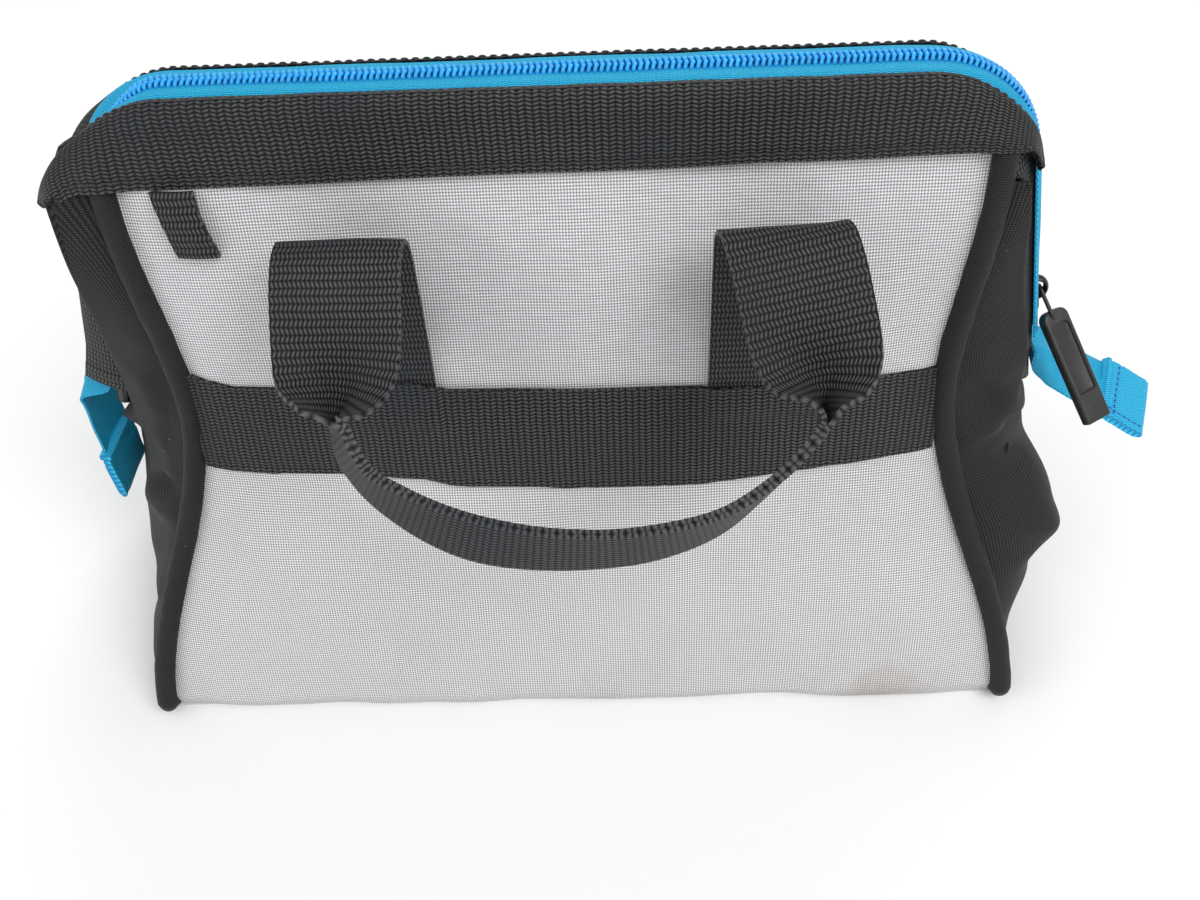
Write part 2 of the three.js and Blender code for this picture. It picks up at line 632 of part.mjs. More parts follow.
function foldPoint(z) {
  if (z <= foldTop) {
    const t = z < GUSSET_FOLD_HEIGHT ? z / GUSSET_FOLD_HEIGHT : (foldTop - z) / (foldTop - GUSSET_FOLD_HEIGHT);
    const end = z < GUSSET_FOLD_HEIGHT ? GUSSET_FOOT_HALF : GUSSET_TOP_HALF;
    return [end + (GUSSET_FOLD_HALF - end) * smooth(t), -GAP / 2];
  }
  const t = THREE.MathUtils.clamp((z - foldTop) / (foldClear - foldTop), 0, 1);
  const legX = zipX(z, WIRE_DROP);
  return [legX + (GUSSET_TOP_HALF - zipX(foldTop, WIRE_DROP)) * (1 - t),
    -GAP / 2 - (WIRE_SPREAD + SLEEVE_RADIUS + GAP + FABRIC - GAP / 2) * t];
}

function gusset(side) {
  const columns = 8;
  const hem = BASE_PANEL_THICKNESS + GAP;
  const top = mouthOutline(WIRE_DROP, 0, LEG_SPLAY, 1, 1)[1][1] - GUSSET_TOP_GAP;
  const lower = [0, 0.12, 0.25, 0.38, 0.5, 0.62, 0.74, 0.86, 0.95, 1].map((t) => hem + (foldTop - hem) * t);
  const upper = [0, 0.1, 0.25, 0.4, 0.6, 0.8, 1].map((t) => foldClear + (top - foldClear) * t);
  const heights = [...lower, ...upper];
  const sample = (z, t) => {
    const s = THREE.MathUtils.clamp(z / Math.cos(lean), PANEL_START, bandLow);
    const edge = panelPoint(panelHalf(s) + PIPING_RADIUS + GAP, s, PIPING_LIFT - PIPING_RADIUS - GAP);
    const [foldX, foldY] = foldPoint(z);
    const bulge = GUSSET_BULGE * Math.exp(-(((z - GUSSET_FOLD_HEIGHT) / GUSSET_BULGE_SPREAD) ** 2));
    const chord = new THREE.Vector2(foldX - edge.x, foldY - edge.y);
    const width = chord.length();
    const floor = GUSSET_BULGE_FLOOR * Math.min(1, width / GUSSET_FLAT_WIDTH);
    const out = (Math.min(bulge, width / 3) + floor) * Math.sin(Math.PI * t) ** 0.8;
    return new THREE.Vector3(
      side * (edge.x + chord.x * t - chord.y / width * -out), edge.y + chord.y * t - chord.x / width * out, z,
    );
  };
  const grid = (inward) => heights.map((z) => {
    return Array.from({ length: columns + 1 }, (_, c) => {
      const t = c / columns;
      const here = sample(z, t);
      const along = sample(z, Math.min(t + 0.02, 1)).sub(sample(z, Math.max(t - 0.02, 0)));
      const up = sample(z + 1, t).sub(sample(z - 1, t));
      const normal = new THREE.Vector3().crossVectors(along, up).normalize();
      if (normal.x * side < 0) normal.negate();
      return here.addScaledVector(normal, -inward);
    });
  });
  return shell(grid(0), grid(FABRIC));
}

addBothHalves('left_gusset', gusset(-1), fabricBlack);
addBothHalves('right_gusset', gusset(1), fabricBlack);

// Lining walls standing on the base inside the gussets

function lining(side) {
  const rows = 6;
  const columns = 6;
  const grid = (inward) => Array.from({ length: rows + 1 }, (_, r) => {
    const z = BASE_PANEL_THICKNESS + GAP + (LINING_HEIGHT - BASE_PANEL_THICKNESS - GAP) * r / rows;
    const half = BASE_DEPTH / 2 - LINING_EDGE_INSET - z * Math.tan(lean);
    return Array.from({ length: columns + 1 }, (__, c) => {
      const t = 2 * c / columns - 1;
      const x = BASE_HALF_WIDTH - LINING_INSET + (LINING_LEAN - LINING_BOW * t * t) * z / LINING_HEIGHT;
      return new THREE.Vector3(side * (x - inward), half * t, z);
    });
  });
  return shell(grid(0), grid(FABRIC));
}

add('left_lining', lining(-1), fabricBlack);
add('right_lining', lining(1), fabricBlack);

// Handles: four legs sewn to the panels and a folded grip hinged at the legs' upper bends

function handleLeg(side) {
  const [low, high] = [[stripeEnd + GAP, FABRIC + GAP], [HANDLE_BEND_AT - WEBBING / 2, HANDLE_BEND_OFF - WEBBING]];
  const path = [0, 0.28, 0.56, 0.81, 1].map((t) => (
    [low[0] + (high[0] - low[0]) * t, low[1] + (high[1] - low[1]) * t ** 1.9]
  ));
  const half = WEBBING_WIDTH / 2;
  const rings = path.map(([s, off]) => [[-half, 0], [half, 0], [half, WEBBING], [-half, WEBBING]].map(([x, o]) => (
    panelPoint(side * HANDLE_LEG_X + x, s, off + o)
  )));
  const strap = loft(rings, [[-half, 0], [half, 0], [half, WEBBING], [-half, WEBBING]].map(([x, o]) => (
    new THREE.Vector2(x, o)
  )));
  const roll = new THREE.CylinderGeometry(HANDLE_ROLL_RADIUS, HANDLE_ROLL_RADIUS, WEBBING_WIDTH, 12);
  roll.rotateZ(Math.PI / 2);
  const top = panelPoint(side * HANDLE_LEG_X, HANDLE_BEND_AT, HANDLE_BEND_OFF);
  roll.translate(top.x, top.y, top.z);
  return joined(strap, roll);
}

addBothHalves('left_handle_leg', handleLeg(-1), webbingBlack);
addBothHalves('right_handle_leg', handleLeg(1), webbingBlack);

function grip() {
  const start = HANDLE_ROLL_RADIUS + GAP;
  const tall = WEBBING_WIDTH / 2;
  const edge = [HANDLE_BEND_AT - start / 2, HANDLE_BEND_OFF + start];
  const loop = (t) => [
    HANDLE_LEG_X + (PINCH_X - HANDLE_LEG_X) * t * t,
    edge[0] * (1 - t) ** 2 + 2 * LOOP_AT * t * (1 - t) + PINCH_AT * t * t,
    edge[1] * (1 - t) ** 2 + 2 * LOOP_OFF * t * (1 - t) + PINCH_OFF * t * t,
  ];
  const bar = (t, fall, rise) => [
    PINCH_X * t, GRIP_AT + (PINCH_AT - GRIP_AT) * fall, GRIP_OFF + (PINCH_OFF - GRIP_OFF) * rise,
  ];
  const upright = (lean) => [GRIP_HEIGHT * lean, GRIP_HEIGHT * 0.42, GRIP_HEIGHT * 0.25];
  // each station: its place as x, s, off, its half width as x, s, off, and its half thickness
  const half = [
    [...loop(0), [tall, 0, 0], STRAP_THICKNESS / 2],
    [...loop(0.33), [tall * 0.93, 0, 0], STRAP_THICKNESS / 2],
    [...loop(0.6), [tall * 0.72, GRIP_HEIGHT * 0.1, GRIP_HEIGHT * 0.05], STRAP_THICKNESS * 0.7],
    [...loop(0.8), [tall * 0.45, GRIP_HEIGHT * 0.26, GRIP_HEIGHT * 0.16], STRAP_THICKNESS],
    [...loop(1), upright(0.16), GRIP_THICKNESS / 2],
    [...bar(0.83, 0.52, 0.47), upright(0.1), GRIP_THICKNESS / 2],
    [...bar(0.5, 0.18, 0.14), upright(0.05), GRIP_THICKNESS / 2],
    [...bar(0.2, 0.02, 0), upright(0.03), GRIP_THICKNESS / 2],
  ];
  const place = ([x, s, off, wide, thick]) => [panelPoint(0, s, off).setX(x),
    panelPoint(0, s + wide[1], off + wide[2]).setX(x + wide[0]).sub(panelPoint(0, s, off).setX(x)), thick];
  const right = half.map(place);
  const left = half.map(([x, s, off, wide, thick]) => place([-x, s, off, [wide[0], -wide[1], -wide[2]], thick]));
  const stations = [...right, ...left.reverse().map(([at, wide, thick]) => [at, wide, thick])];
  const outline = [[-1, -1], [1, -1], [1, 1], [-1, 1]];
  let before = null;
  const rings = stations.map(([at, wide, thick], i) => {
    const along = stations[Math.min(i + 1, stations.length - 1)][0].clone()
      .sub(stations[Math.max(i - 1, 0)][0]).normalize();
    const w = wide.clone().addScaledVector(along, -wide.dot(along));
    w.setLength(wide.length());
    if (before && before.dot(w) < 0) w.negate();
    before = w;
    const n = new THREE.Vector3().crossVectors(along, w).setLength(thick);
    return outline.map(([u, v]) => at.clone().addScaledVector(w, u * 0.999).addScaledVector(n, v));
  });
  return loft(rings, outline.map(([u, v]) => new THREE.Vector2(u, v)));
}

addBothHalves('handle_grip', grip(), webbingBlack);

export default bag;
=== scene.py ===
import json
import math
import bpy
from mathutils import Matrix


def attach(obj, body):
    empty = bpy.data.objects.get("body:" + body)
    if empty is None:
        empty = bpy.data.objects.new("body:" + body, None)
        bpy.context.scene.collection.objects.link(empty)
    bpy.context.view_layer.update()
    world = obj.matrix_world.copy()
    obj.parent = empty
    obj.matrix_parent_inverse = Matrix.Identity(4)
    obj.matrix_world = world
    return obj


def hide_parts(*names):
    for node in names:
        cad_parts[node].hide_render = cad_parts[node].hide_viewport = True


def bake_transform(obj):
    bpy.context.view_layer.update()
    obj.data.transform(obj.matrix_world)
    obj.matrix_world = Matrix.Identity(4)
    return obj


bl_info = {
    "name": "Zippered tool bag",
    "version": (1, 0, 0),
    "blender": (4, 5, 0),
    "location": "View3D > Sidebar > Tool bag",
    "description": "Dresses the frame of a soft tool bag: cloth, webbing, zipper, handles and stage",
    "category": "Object",
}

import bpy
import numpy as np
from mathutils import Matrix, Vector

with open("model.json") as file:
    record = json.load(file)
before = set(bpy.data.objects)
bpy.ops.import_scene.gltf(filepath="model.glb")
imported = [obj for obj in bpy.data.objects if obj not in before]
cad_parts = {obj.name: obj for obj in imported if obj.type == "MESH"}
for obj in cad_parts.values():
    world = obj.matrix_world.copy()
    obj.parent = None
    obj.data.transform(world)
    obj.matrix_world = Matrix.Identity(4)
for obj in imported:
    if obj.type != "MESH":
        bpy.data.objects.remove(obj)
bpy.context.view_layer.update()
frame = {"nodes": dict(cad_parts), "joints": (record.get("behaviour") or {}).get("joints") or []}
NODES = frame["nodes"]
JOINTS = {joint["name"]: joint for joint in frame["joints"]}
MM = 0.001
HALVES = (("front", 1), ("rear", -1))
ENDS = (("left", -1), ("right", 1))

# Lengths below are in millimetres unless a name says otherwise.
BASE_DEPTH = -2000 * JOINTS["front_side_hinge"]["pos_m"][1]
WIRE_Y, WIRE_TOP = (1000 * JOINTS["front_frame_hinge"]["pos_m"][axis] for axis in (1, 2))
LEAN = math.atan2(BASE_DEPTH / 2 + WIRE_Y, WIRE_TOP)
SLOPE = math.hypot(BASE_DEPTH / 2 + WIRE_Y, WIRE_TOP)
WIRE_DROP = 7.5
ZIP_HEIGHT = WIRE_TOP + WIRE_DROP
MOUTH_TOP_HALF = 113.5
CORNER_RADIUS = 42.0
LEG_SPLAY = math.radians(14)
PANEL_BOTTOM_HALF, PANEL_WAIST_HALF, PANEL_TOP_HALF = 165.0, 128.0, 134.0
PANEL_WAIST_AT = 145.0
PANEL_SETBACK = 9.0
BAND_LOW = SLOPE + 4.3 - 25
STRIPE_LOW, STRIPE_HIGH = 107.0, 145.0
PIPING_RADIUS = 4.0
LEG_PIVOT_Z = 118.0
STRAP_WIDTH = 38.0
HANDLE_LEGS = (-61.0, 69.0)
TAIL_BEND = (187.0, 109.0)
TAIL_TOP = 123.6
TAIL_LENGTH = 42.0
TAIL_HALF, TAB_HALF = 12.4, 13.4
# The slope of the left tail (-1) and the right one (1), then its sideways shear, the rise with it and a shift.
TAIL_SLOPES = {-1: math.radians(87), 1: math.radians(34)}
TAIL_SHEAR = {-1: (0.0, 0.0, 0.0), 1: (0.34, 0.1, 3.4)}
PULL_LEAN_OUT, PULL_LEAN_FORWARD, PULL_TWIST = (math.radians(angle) for angle in (31, 40, 50))
# The slider and its pull sit this far in from the CAD ones, as the zipper sinks there.
SLIDER_SET = np.array([2.7, 0, 2.6])
SLIDER_HEIGHT = 146.0
PULL_PIVOT = 1000 * np.array(JOINTS["pull_swing"]["pos_m"]) - SLIDER_SET
PULL_DOWN = np.array([math.sin(PULL_LEAN_OUT) * math.cos(PULL_LEAN_FORWARD), -math.sin(PULL_LEAN_FORWARD),
                      -math.cos(PULL_LEAN_OUT) * math.cos(PULL_LEAN_FORWARD)])
STAIN_PLACE_M = (0.124, -0.083, 0.003)


# Sizes and colours that a user may change


def length_setting(name, about, default):
    return bpy.props.FloatProperty(name=name, description=about, default=default, unit="LENGTH")


def colour_setting(name, about, default):
    return bpy.props.FloatVectorProperty(name=name, description=about, subtype="COLOR", default=default)


class BagSizes(bpy.types.PropertyGroup):
    cloth_thickness: length_setting("Cloth thickness", "Thickness of the panels", 0.0012)
    webbing_thickness: length_setting("Webbing thickness", "Thickness of the black webbing", 0.0016)
    tooth_pitch: length_setting("Tooth pitch", "Distance between two turns of the zipper coil", 0.0019)
    stitch_pitch: length_setting("Stitch pitch", "Distance between two stitches", 0.0034)
    wrinkle_depth: length_setting("Wrinkle depth", "Height of the soft wrinkles in the cloth", 0.0015)


class BagColours(bpy.types.PropertyGroup):
    grey_cloth: colour_setting("Grey cloth", "Light panels", (0.635, 0.635, 0.655))
    black_cloth: colour_setting("Black cloth", "Sides and base", (0.0128, 0.0122, 0.0116))
    webbing: colour_setting("Webbing", "Band, stripe and handles", (0.0110, 0.0114, 0.0116))
    zipper: colour_setting("Zipper", "Zipper tape and coil", (0.016, 0.375, 0.86))
    plastic: colour_setting("Plastic", "Pull and wire caps", (0.020, 0.0195, 0.0185))


def size(name):
    """A user's size, in metres."""
    return getattr(bpy.context.scene.bag_sizes, name)


# Shapes


def smooth(t):
    t = np.clip(t, 0, 1)
    return t * t * (3 - 2 * t)


def bell(x, width):
    return np.exp(-(x / width) ** 2)


def joined(*axes):
    """Arrays of coordinates, broadcast and set side by side on a last axis."""
    return np.stack(np.broadcast_arrays(*axes), -1)


def unit(vectors):
    return vectors / np.maximum(np.linalg.norm(vectors, axis=-1, keepdims=True), 1e-9)


def down_and_across(rows, columns, low=-1):
    """A column from 0 to 1 and a row from low to 1, which broadcast to a grid."""
    return np.linspace(0, 1, rows)[:, None], np.linspace(low, 1, columns)[None, :]


def relief(seed, x, y, spacing):
    """Smooth random heights from -1 to 1, with bumps about spacing apart."""
    table = np.random.default_rng(seed).uniform(-1, 1, (64, 64))
    gx, gy = np.asarray(x) / spacing + 17.3, np.asarray(y) / spacing + 31.7
    ix, iy = np.floor(gx).astype(int), np.floor(gy).astype(int)
    fx, fy = smooth(gx - ix), smooth(gy - iy)
    a, b = table[ix % 64, iy % 64], table[(ix + 1) % 64, iy % 64]
    c, d = table[ix % 64, (iy + 1) % 64], table[(ix + 1) % 64, (iy + 1) % 64]
    return (a * (1 - fx) + b * fx) * (1 - fy) + (c * (1 - fx) + d * fx) * fy


def crease(x, y, start, end, depth, width):
    """A fold from start to end: depth at its middle, fading at its ends and over its width."""
    (x0, y0), (x1, y1) = start, end
    dx, dy = x1 - x0, y1 - y0
    along = ((x - x0) * dx + (y - y0) * dy) / (dx * dx + dy * dy)
    held = np.clip(along, 0, 1)
    away = np.hypot(x - x0 - held * dx, y - y0 - held * dy)
    return depth * bell(away, width) * np.sin(np.pi * np.clip(0.12 + 0.76 * along, 0, 1)) ** 0.7


def panel_half(s):
    low = PANEL_WAIST_HALF + (PANEL_BOTTOM_HALF - PANEL_WAIST_HALF) * smooth(1 - s / PANEL_WAIST_AT)
    rise = smooth((s - PANEL_WAIST_AT) / (BAND_LOW - PANEL_WAIST_AT))
    high = PANEL_WAIST_HALF + (PANEL_TOP_HALF - PANEL_WAIST_HALF) * rise
    return np.where(s < PANEL_WAIST_AT, low, high)


def panel_point(x, s, off):
    """A point of the front panel: x across, s up its slope, off outwards."""
    x, s, off = np.broadcast_arrays(np.asarray(x, float), np.asarray(s, float), np.asarray(off, float))
    rise = np.sin(np.pi * np.clip(s / BAND_LOW, 0, 1))
    across = np.minimum(np.abs(x) / panel_half(s), 1.1)
    out = off - PANEL_SETBACK * rise ** 2 * across ** 3
    return joined(x, -BASE_DEPTH / 2 + math.sin(LEAN) * s - math.cos(LEAN) * out,
                  math.cos(LEAN) * s + math.sin(LEAN) * out)


def normals(grid):
    return unit(np.cross(np.gradient(grid, axis=0), np.gradient(grid, axis=1)))


def facing(grid, towards):
    """Grid normals turned to point with towards, a direction or a grid of directions."""
    found = normals(grid)
    sign = np.sign(np.sum(found * np.asarray(towards, float), -1, keepdims=True))
    return found * np.where(np.median(sign) < 0, -1.0, 1.0)


def under(outer, thick, towards=(0, -1, 0.3)):
    """The lower face of a sheet that looks towards a direction."""
    return outer - facing(outer, towards) * thick


def mirrored(points, side):
    return points * np.array([1, side, 1.0])


def mesh_object(name, points, faces=(), edges=()):
    """A linked object with a smooth mesh, from points in millimetres."""
    mesh = bpy.data.meshes.new(name)
    corners = [list(map(int, face)) for face in faces]
    mesh.from_pydata((np.asarray(points) * MM).tolist(), list(edges), corners)
    mesh.polygons.foreach_set("use_smooth", [True] * len(mesh.polygons))
    thing = bpy.data.objects.new(name, mesh)
    bpy.context.scene.collection.objects.link(thing)
    return thing


def signed_volume(points, faces):
    volume = 0.0
    for face in faces:
        a = points[face[0]]
        for b, c in zip(face[1:], face[2:]):
            volume += a @ np.cross(points[b], points[c])
    return volume


def settle(thing, body, nodes):
    """Let a piece ride on a body, in place of its CAD nodes."""
    if body:
        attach(thing, body)
    if nodes:
        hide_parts(*([nodes] if isinstance(nodes, str) else nodes))
    return thing


def make(name, points, faces, uvs, finish, slot, body=None, nodes=(), sharp=50):
    """A piece from points in millimetres, with a UV map in metres and faces that point outwards."""
    thing = mesh_object(name, points, faces)
    mesh = thing.data
    corner = np.zeros(len(mesh.loops), int)
    mesh.loops.foreach_get("vertex_index", corner)
    layer = mesh.uv_layers.new(name="cloth")
    layer.data.foreach_set("uv", (np.asarray(uvs)[corner] * MM).ravel())
    if signed_volume(np.asarray(points, float), faces) < 0:
        mesh.flip_normals()
    mesh.set_sharp_from_angle(angle=math.radians(sharp))
    mesh.materials.append(materials()[finish])
    mesh.update()
    return settle(thing, body, nodes)


def sheet_faces(rows, columns, start, turned):
    faces = []
    for r in range(rows - 1):
        for c in range(columns - 1):
            a = start + r * columns + c
            quad = (a, a + 1, a + columns + 1, a + columns)
            faces.append(quad[::-1] if turned else quad)
    return faces


def sheet(name, outer, inner, uv, finish, slot, body=None, nodes=(), side=1):
    """A closed sheet between two grids, mirrored for the rear half; uv holds its two measures."""
    rows, columns = outer.shape[:2]
    count = rows * columns
    faces = sheet_faces(rows, columns, 0, False) + sheet_faces(rows, columns, count, True)
    rim = list(range(columns))
    rim += [r * columns + columns - 1 for r in range(1, rows)]
    rim += [(rows - 1) * columns + c for c in range(columns - 2, -1, -1)]
    rim += [r * columns for r in range(rows - 2, 0, -1)]
    faces += [(a, a + count, b + count, b) for a, b in zip(rim, rim[1:] + rim[:1])]
    points = mirrored(np.concatenate([outer.reshape(-1, 3), inner.reshape(-1, 3)]), side)
    flat = joined(*uv).reshape(-1, 2)
    # The lower face's weave is shifted, so that the rim between the faces shows some too.
    uvs = np.concatenate([flat, flat - [0, 0.45]])
    return make(name, points, faces, uvs, finish, slot, body, nodes)


def tube(rings, uv=None, capped=True):
    """Points, faces and UVs of a closed tube through rings, an array of ring, point, axis."""
    count, around = rings.shape[:2]
    faces = []
    for r in range(count - 1):
        for i in range(around):
            j = (i + 1) % around
            faces.append((r * around + i, r * around + j, (r + 1) * around + j, (r + 1) * around + i))
    if capped:
        faces.append(tuple(range(around))[::-1])
        faces.append(tuple((count - 1) * around + i for i in range(around)))
    uv = np.zeros((count, around, 2)) if uv is None else uv
    return rings.reshape(-1, 3), faces, uv.reshape(-1, 2)


def along_path(path):
    """Distance along a path at each of its points."""
    steps = np.linalg.norm(np.diff(path, axis=0), axis=1)
    return np.concatenate([[0], np.cumsum(steps)])


def catmull(where, values, at):
    """Values between knots on a smooth curve through all of them."""
    where, values = np.asarray(where, float), np.asarray(values, float)
    slope = np.gradient(values, where)
    i = np.clip(np.searchsorted(where, at, side="right") - 1, 0, len(where) - 2)
    h = where[i + 1] - where[i]
    t = (at - where[i]) / h
    return ((2 * t ** 3 - 3 * t ** 2 + 1) * values[i] + (t ** 3 - 2 * t ** 2 + t) * h * slope[i]
            + (3 * t ** 2 - 2 * t ** 3) * values[i + 1] + (t ** 3 - t ** 2) * h * slope[i + 1])


def resample(path, count):
    """The smooth path through the same corners with evenly spaced points."""
    path = np.asarray(path, float)
    where = along_path(path)
    even = np.linspace(0, where[-1], count)
    return np.stack([catmull(where, values, even) for values in path.T], -1)


def round_tube(path, radius, sides, side_hint=(0, 0, 1), wobble=None):
    """Rings and UVs of a round tube along a path."""
    path = np.asarray(path, float)
    tangent = unit(np.gradient(path, axis=0))
    across = unit(np.cross(tangent, np.asarray(side_hint, float)))
    up = np.cross(across, tangent)
    turn = np.linspace(0, 2 * np.pi, sides, endpoint=False)
    reach = np.broadcast_to(np.asarray(radius, float), (len(path),))[:, None]
    if wobble is not None:
        reach = reach + wobble(along_path(path)[:, None], turn[None, :])
    rings = (path[:, None] + reach[..., None] * (np.cos(turn)[None, :, None] * across[:, None]
                                                 + np.sin(turn)[None, :, None] * up[:, None]))
    around = np.abs(np.linspace(-1, 1, sides, endpoint=False)) * np.pi * np.mean(radius)
    return rings, joined(along_path(path)[:, None], around[None, :])


def mouth_outline(depth, foot, steps=22, straight=120):
    """The mouth from the left foot over the top to the right foot: x, z and the outward direction."""
    radius = CORNER_RADIUS - depth
    turn = np.linspace(math.pi / 2, LEG_SPLAY, steps)
    x = MOUTH_TOP_HALF + radius * np.cos(turn)
    z = ZIP_HEIGHT - CORNER_RADIUS + radius * np.sin(turn)
    drop = (z[-1] - foot) * np.linspace(0, 1, 14)[1:]
    leg = joined(x[-1] + drop * math.tan(LEG_SPLAY), z[-1] - drop, LEG_SPLAY)
    right = np.concatenate([joined(x, z, turn), leg])
    left = right[::-1] * [-1, 1, 1]
    left[:, 2] = math.pi - left[:, 2]
    top = joined(np.linspace(-MOUTH_TOP_HALF, MOUTH_TOP_HALF, straight)[1:-1], z[0], math.pi / 2)
    return np.concatenate([left, top, right])


def swept(outline, n, y):
    """Grid of points at n outwards from each place of an outline, and at y."""
    x, z, turn = (outline[:, k][:, None] for k in range(3))
    return joined(x + n * np.cos(turn), y, z + n * np.sin(turn))


def leg_x(z, depth=0.0):
    """How far out a leg of the mouth's outline stands at a height."""
    radius = CORNER_RADIUS - depth
    end_x = MOUTH_TOP_HALF + radius * math.cos(LEG_SPLAY)
    end_z = ZIP_HEIGHT - CORNER_RADIUS + radius * math.sin(LEG_SPLAY)
    return end_x + (end_z - z) * math.tan(LEG_SPLAY)


# Materials


class Wire:
    """The output of a node. Sums and products of wires become math nodes."""

    def __init__(self, shader, socket):
        self.shader = shader
        self.socket = socket

    def __add__(self, other):
        return self.shader.math("ADD", self, other)

    def __sub__(self, other):
        return self.shader.math("SUBTRACT", self, other)

    def __mul__(self, other):
        return self.shader.math("MULTIPLY", self, other)

    def __truediv__(self, other):
        return self.shader.math("DIVIDE", self, other)


class Shader:
    """A material and short ways to add nodes to it."""

    def __init__(self, name, roughness, sheen=0.0, metallic=0.0, specular=0.5):
        self.material = bpy.data.materials.new(name)
        self.material.use_nodes = True
        self.tree = self.material.node_tree
        self.base = self.tree.nodes["Principled BSDF"].inputs
        for socket, value in (("Roughness", roughness), ("Metallic", metallic), ("Sheen Weight", sheen),
                              ("Specular IOR Level", specular), ("Sheen Roughness", 0.45)):
            self.base[socket].default_value = value

    def feed(self, socket, value):
        """Link a wire to a socket, or set a value on it."""
        if isinstance(value, Wire):
            self.tree.links.new(value.socket, socket)
        elif socket.type == "RGBA":
            socket.default_value = (*value[:3], 1)
        else:
            socket.default_value = value

    def node(self, kind, values=(), **named):
        """A new node: values by socket number, settings in small letters, sockets with a capital."""
        node = self.tree.nodes.new("ShaderNode" + kind)
        for key, value in named.items():
            if key.islower():
                setattr(node, key, value)
            else:
                self.feed(node.inputs[key.replace("_", " ")], value)
        for index, value in values:
            self.feed(node.inputs[index], value)
        return node

    def wire(self, kind, output=0, values=(), **named):
        return Wire(self, self.node(kind, values, **named).outputs[output])

    def parts(self, vector):
        return [Wire(self, socket) for socket in self.node("SeparateXYZ", Vector=vector).outputs]

    def math(self, operation, *values):
        return self.wire("Math", 0, enumerate(values), operation=operation)

    def noise(self, scale, detail=3.0, roughness=0.5, vector=None):
        vector = vector or self.place()
        return self.wire("TexNoise", "Fac", Vector=vector, Scale=scale, Detail=detail, Roughness=roughness)

    def ramp(self, value, low, high, to_low=0.0, to_high=1.0):
        return self.wire("MapRange", Value=value, From_Min=low, From_Max=high, To_Min=to_low, To_Max=to_high,
                         clamp=True)

    def mix(self, amount, a, b, blend="MIX"):
        return self.wire("Mix", 2, ((0, amount), (6, a), (7, b)), data_type="RGBA", blend_type=blend)

    def toned(self, colour, tone):
        """A colour made lighter or darker by a tone."""
        grey = self.wire("CombineColor", 0, enumerate((tone, tone, tone)))
        return self.mix(1.0, colour, grey, "MULTIPLY")

    def colour(self, value):
        self.feed(self.base["Base Color"], value)

    def rough(self, value):
        self.feed(self.base["Roughness"], value)

    def bump(self, height, distance, strength=1.0, **below):
        bumped = self.wire("Bump", Height=height, Distance=distance, Strength=strength, **below)
        self.feed(self.base["Normal"], bumped)
        return bumped

    def uv(self):
        return self.wire("UVMap")

    def fibres(self, stretch):
        """The UV map, drawn out along the threads."""
        return self.wire("Mapping", Vector=self.uv(), Scale=(1.0, stretch, 1.0))

    def place(self):
        return self.wire("TexCoord", "Object")

    def wave(self, value):
        return self.math("SINE", value * math.pi)

    def weave(self, pitch, jitter, slant=0.0, aspect=1.05, rise=0.42):
        """Height of a plain weave on the UV map: threads that pass over and under each other."""
        u, v, _ = self.parts(self.uv())
        a = (u + (self.noise(130.0, 2.0, vector=self.uv()) - 0.5) * jitter) / pitch
        b = (v + (self.noise(157.0, 2.0, vector=self.uv()) - 0.5) * jitter) / (pitch * aspect)
        if slant:
            b = b + self.math("PINGPONG", a, 1.0) * slant
        cell = self.math("FLOOR", a) + self.math("FLOOR", b)
        up = (self.math("PINGPONG", cell, 1.0) * 2.0 - 1.0) * rise
        wave_a, wave_b = self.wave(self.math("FRACT", a)), self.wave(self.math("FRACT", b))
        warp = wave_a * self.math("MULTIPLY_ADD", wave_b, up, 1 - rise)
        weft = wave_b * self.math("MULTIPLY_ADD", wave_a, up * -1.0, 1 - rise)
        return self.math("MAXIMUM", warp, weft)

    def ribs(self, column, row, depth, slant=0.5):
        """Height of ribbed webbing: short floats that lean the other way in every second column."""
        u, v, _ = self.parts(self.uv())
        a = (u + (self.noise(90.0, 2.0, vector=self.uv()) - 0.5) * 0.0006) / column
        b = v / row + self.math("PINGPONG", a, 1.0) * slant
        dash = self.math("POWER", self.math("ABSOLUTE", self.wave(b)), 1.8)
        gap = self.math("POWER", self.math("ABSOLUTE", self.wave(a)), 0.9)
        return dash * self.math("MULTIPLY_ADD", gap, depth, 1 - depth)

    def lint(self, colour, amount):
        """Pale specks of dust and lint over a colour."""
        away = self.wire("TexVoronoi", "Distance", Vector=self.place(), Scale=260.0)
        near = self.ramp(away, 0.05, 0.11, 1.0, 0.0)
        rare = self.ramp(self.noise(31.0, 1.0), 0.66, 0.72)
        return self.mix(near * rare * amount, colour, (0.42, 0.42, 0.44))


def scaled(colour, by):
    return tuple(np.minimum(1, np.multiply(colour, by)))


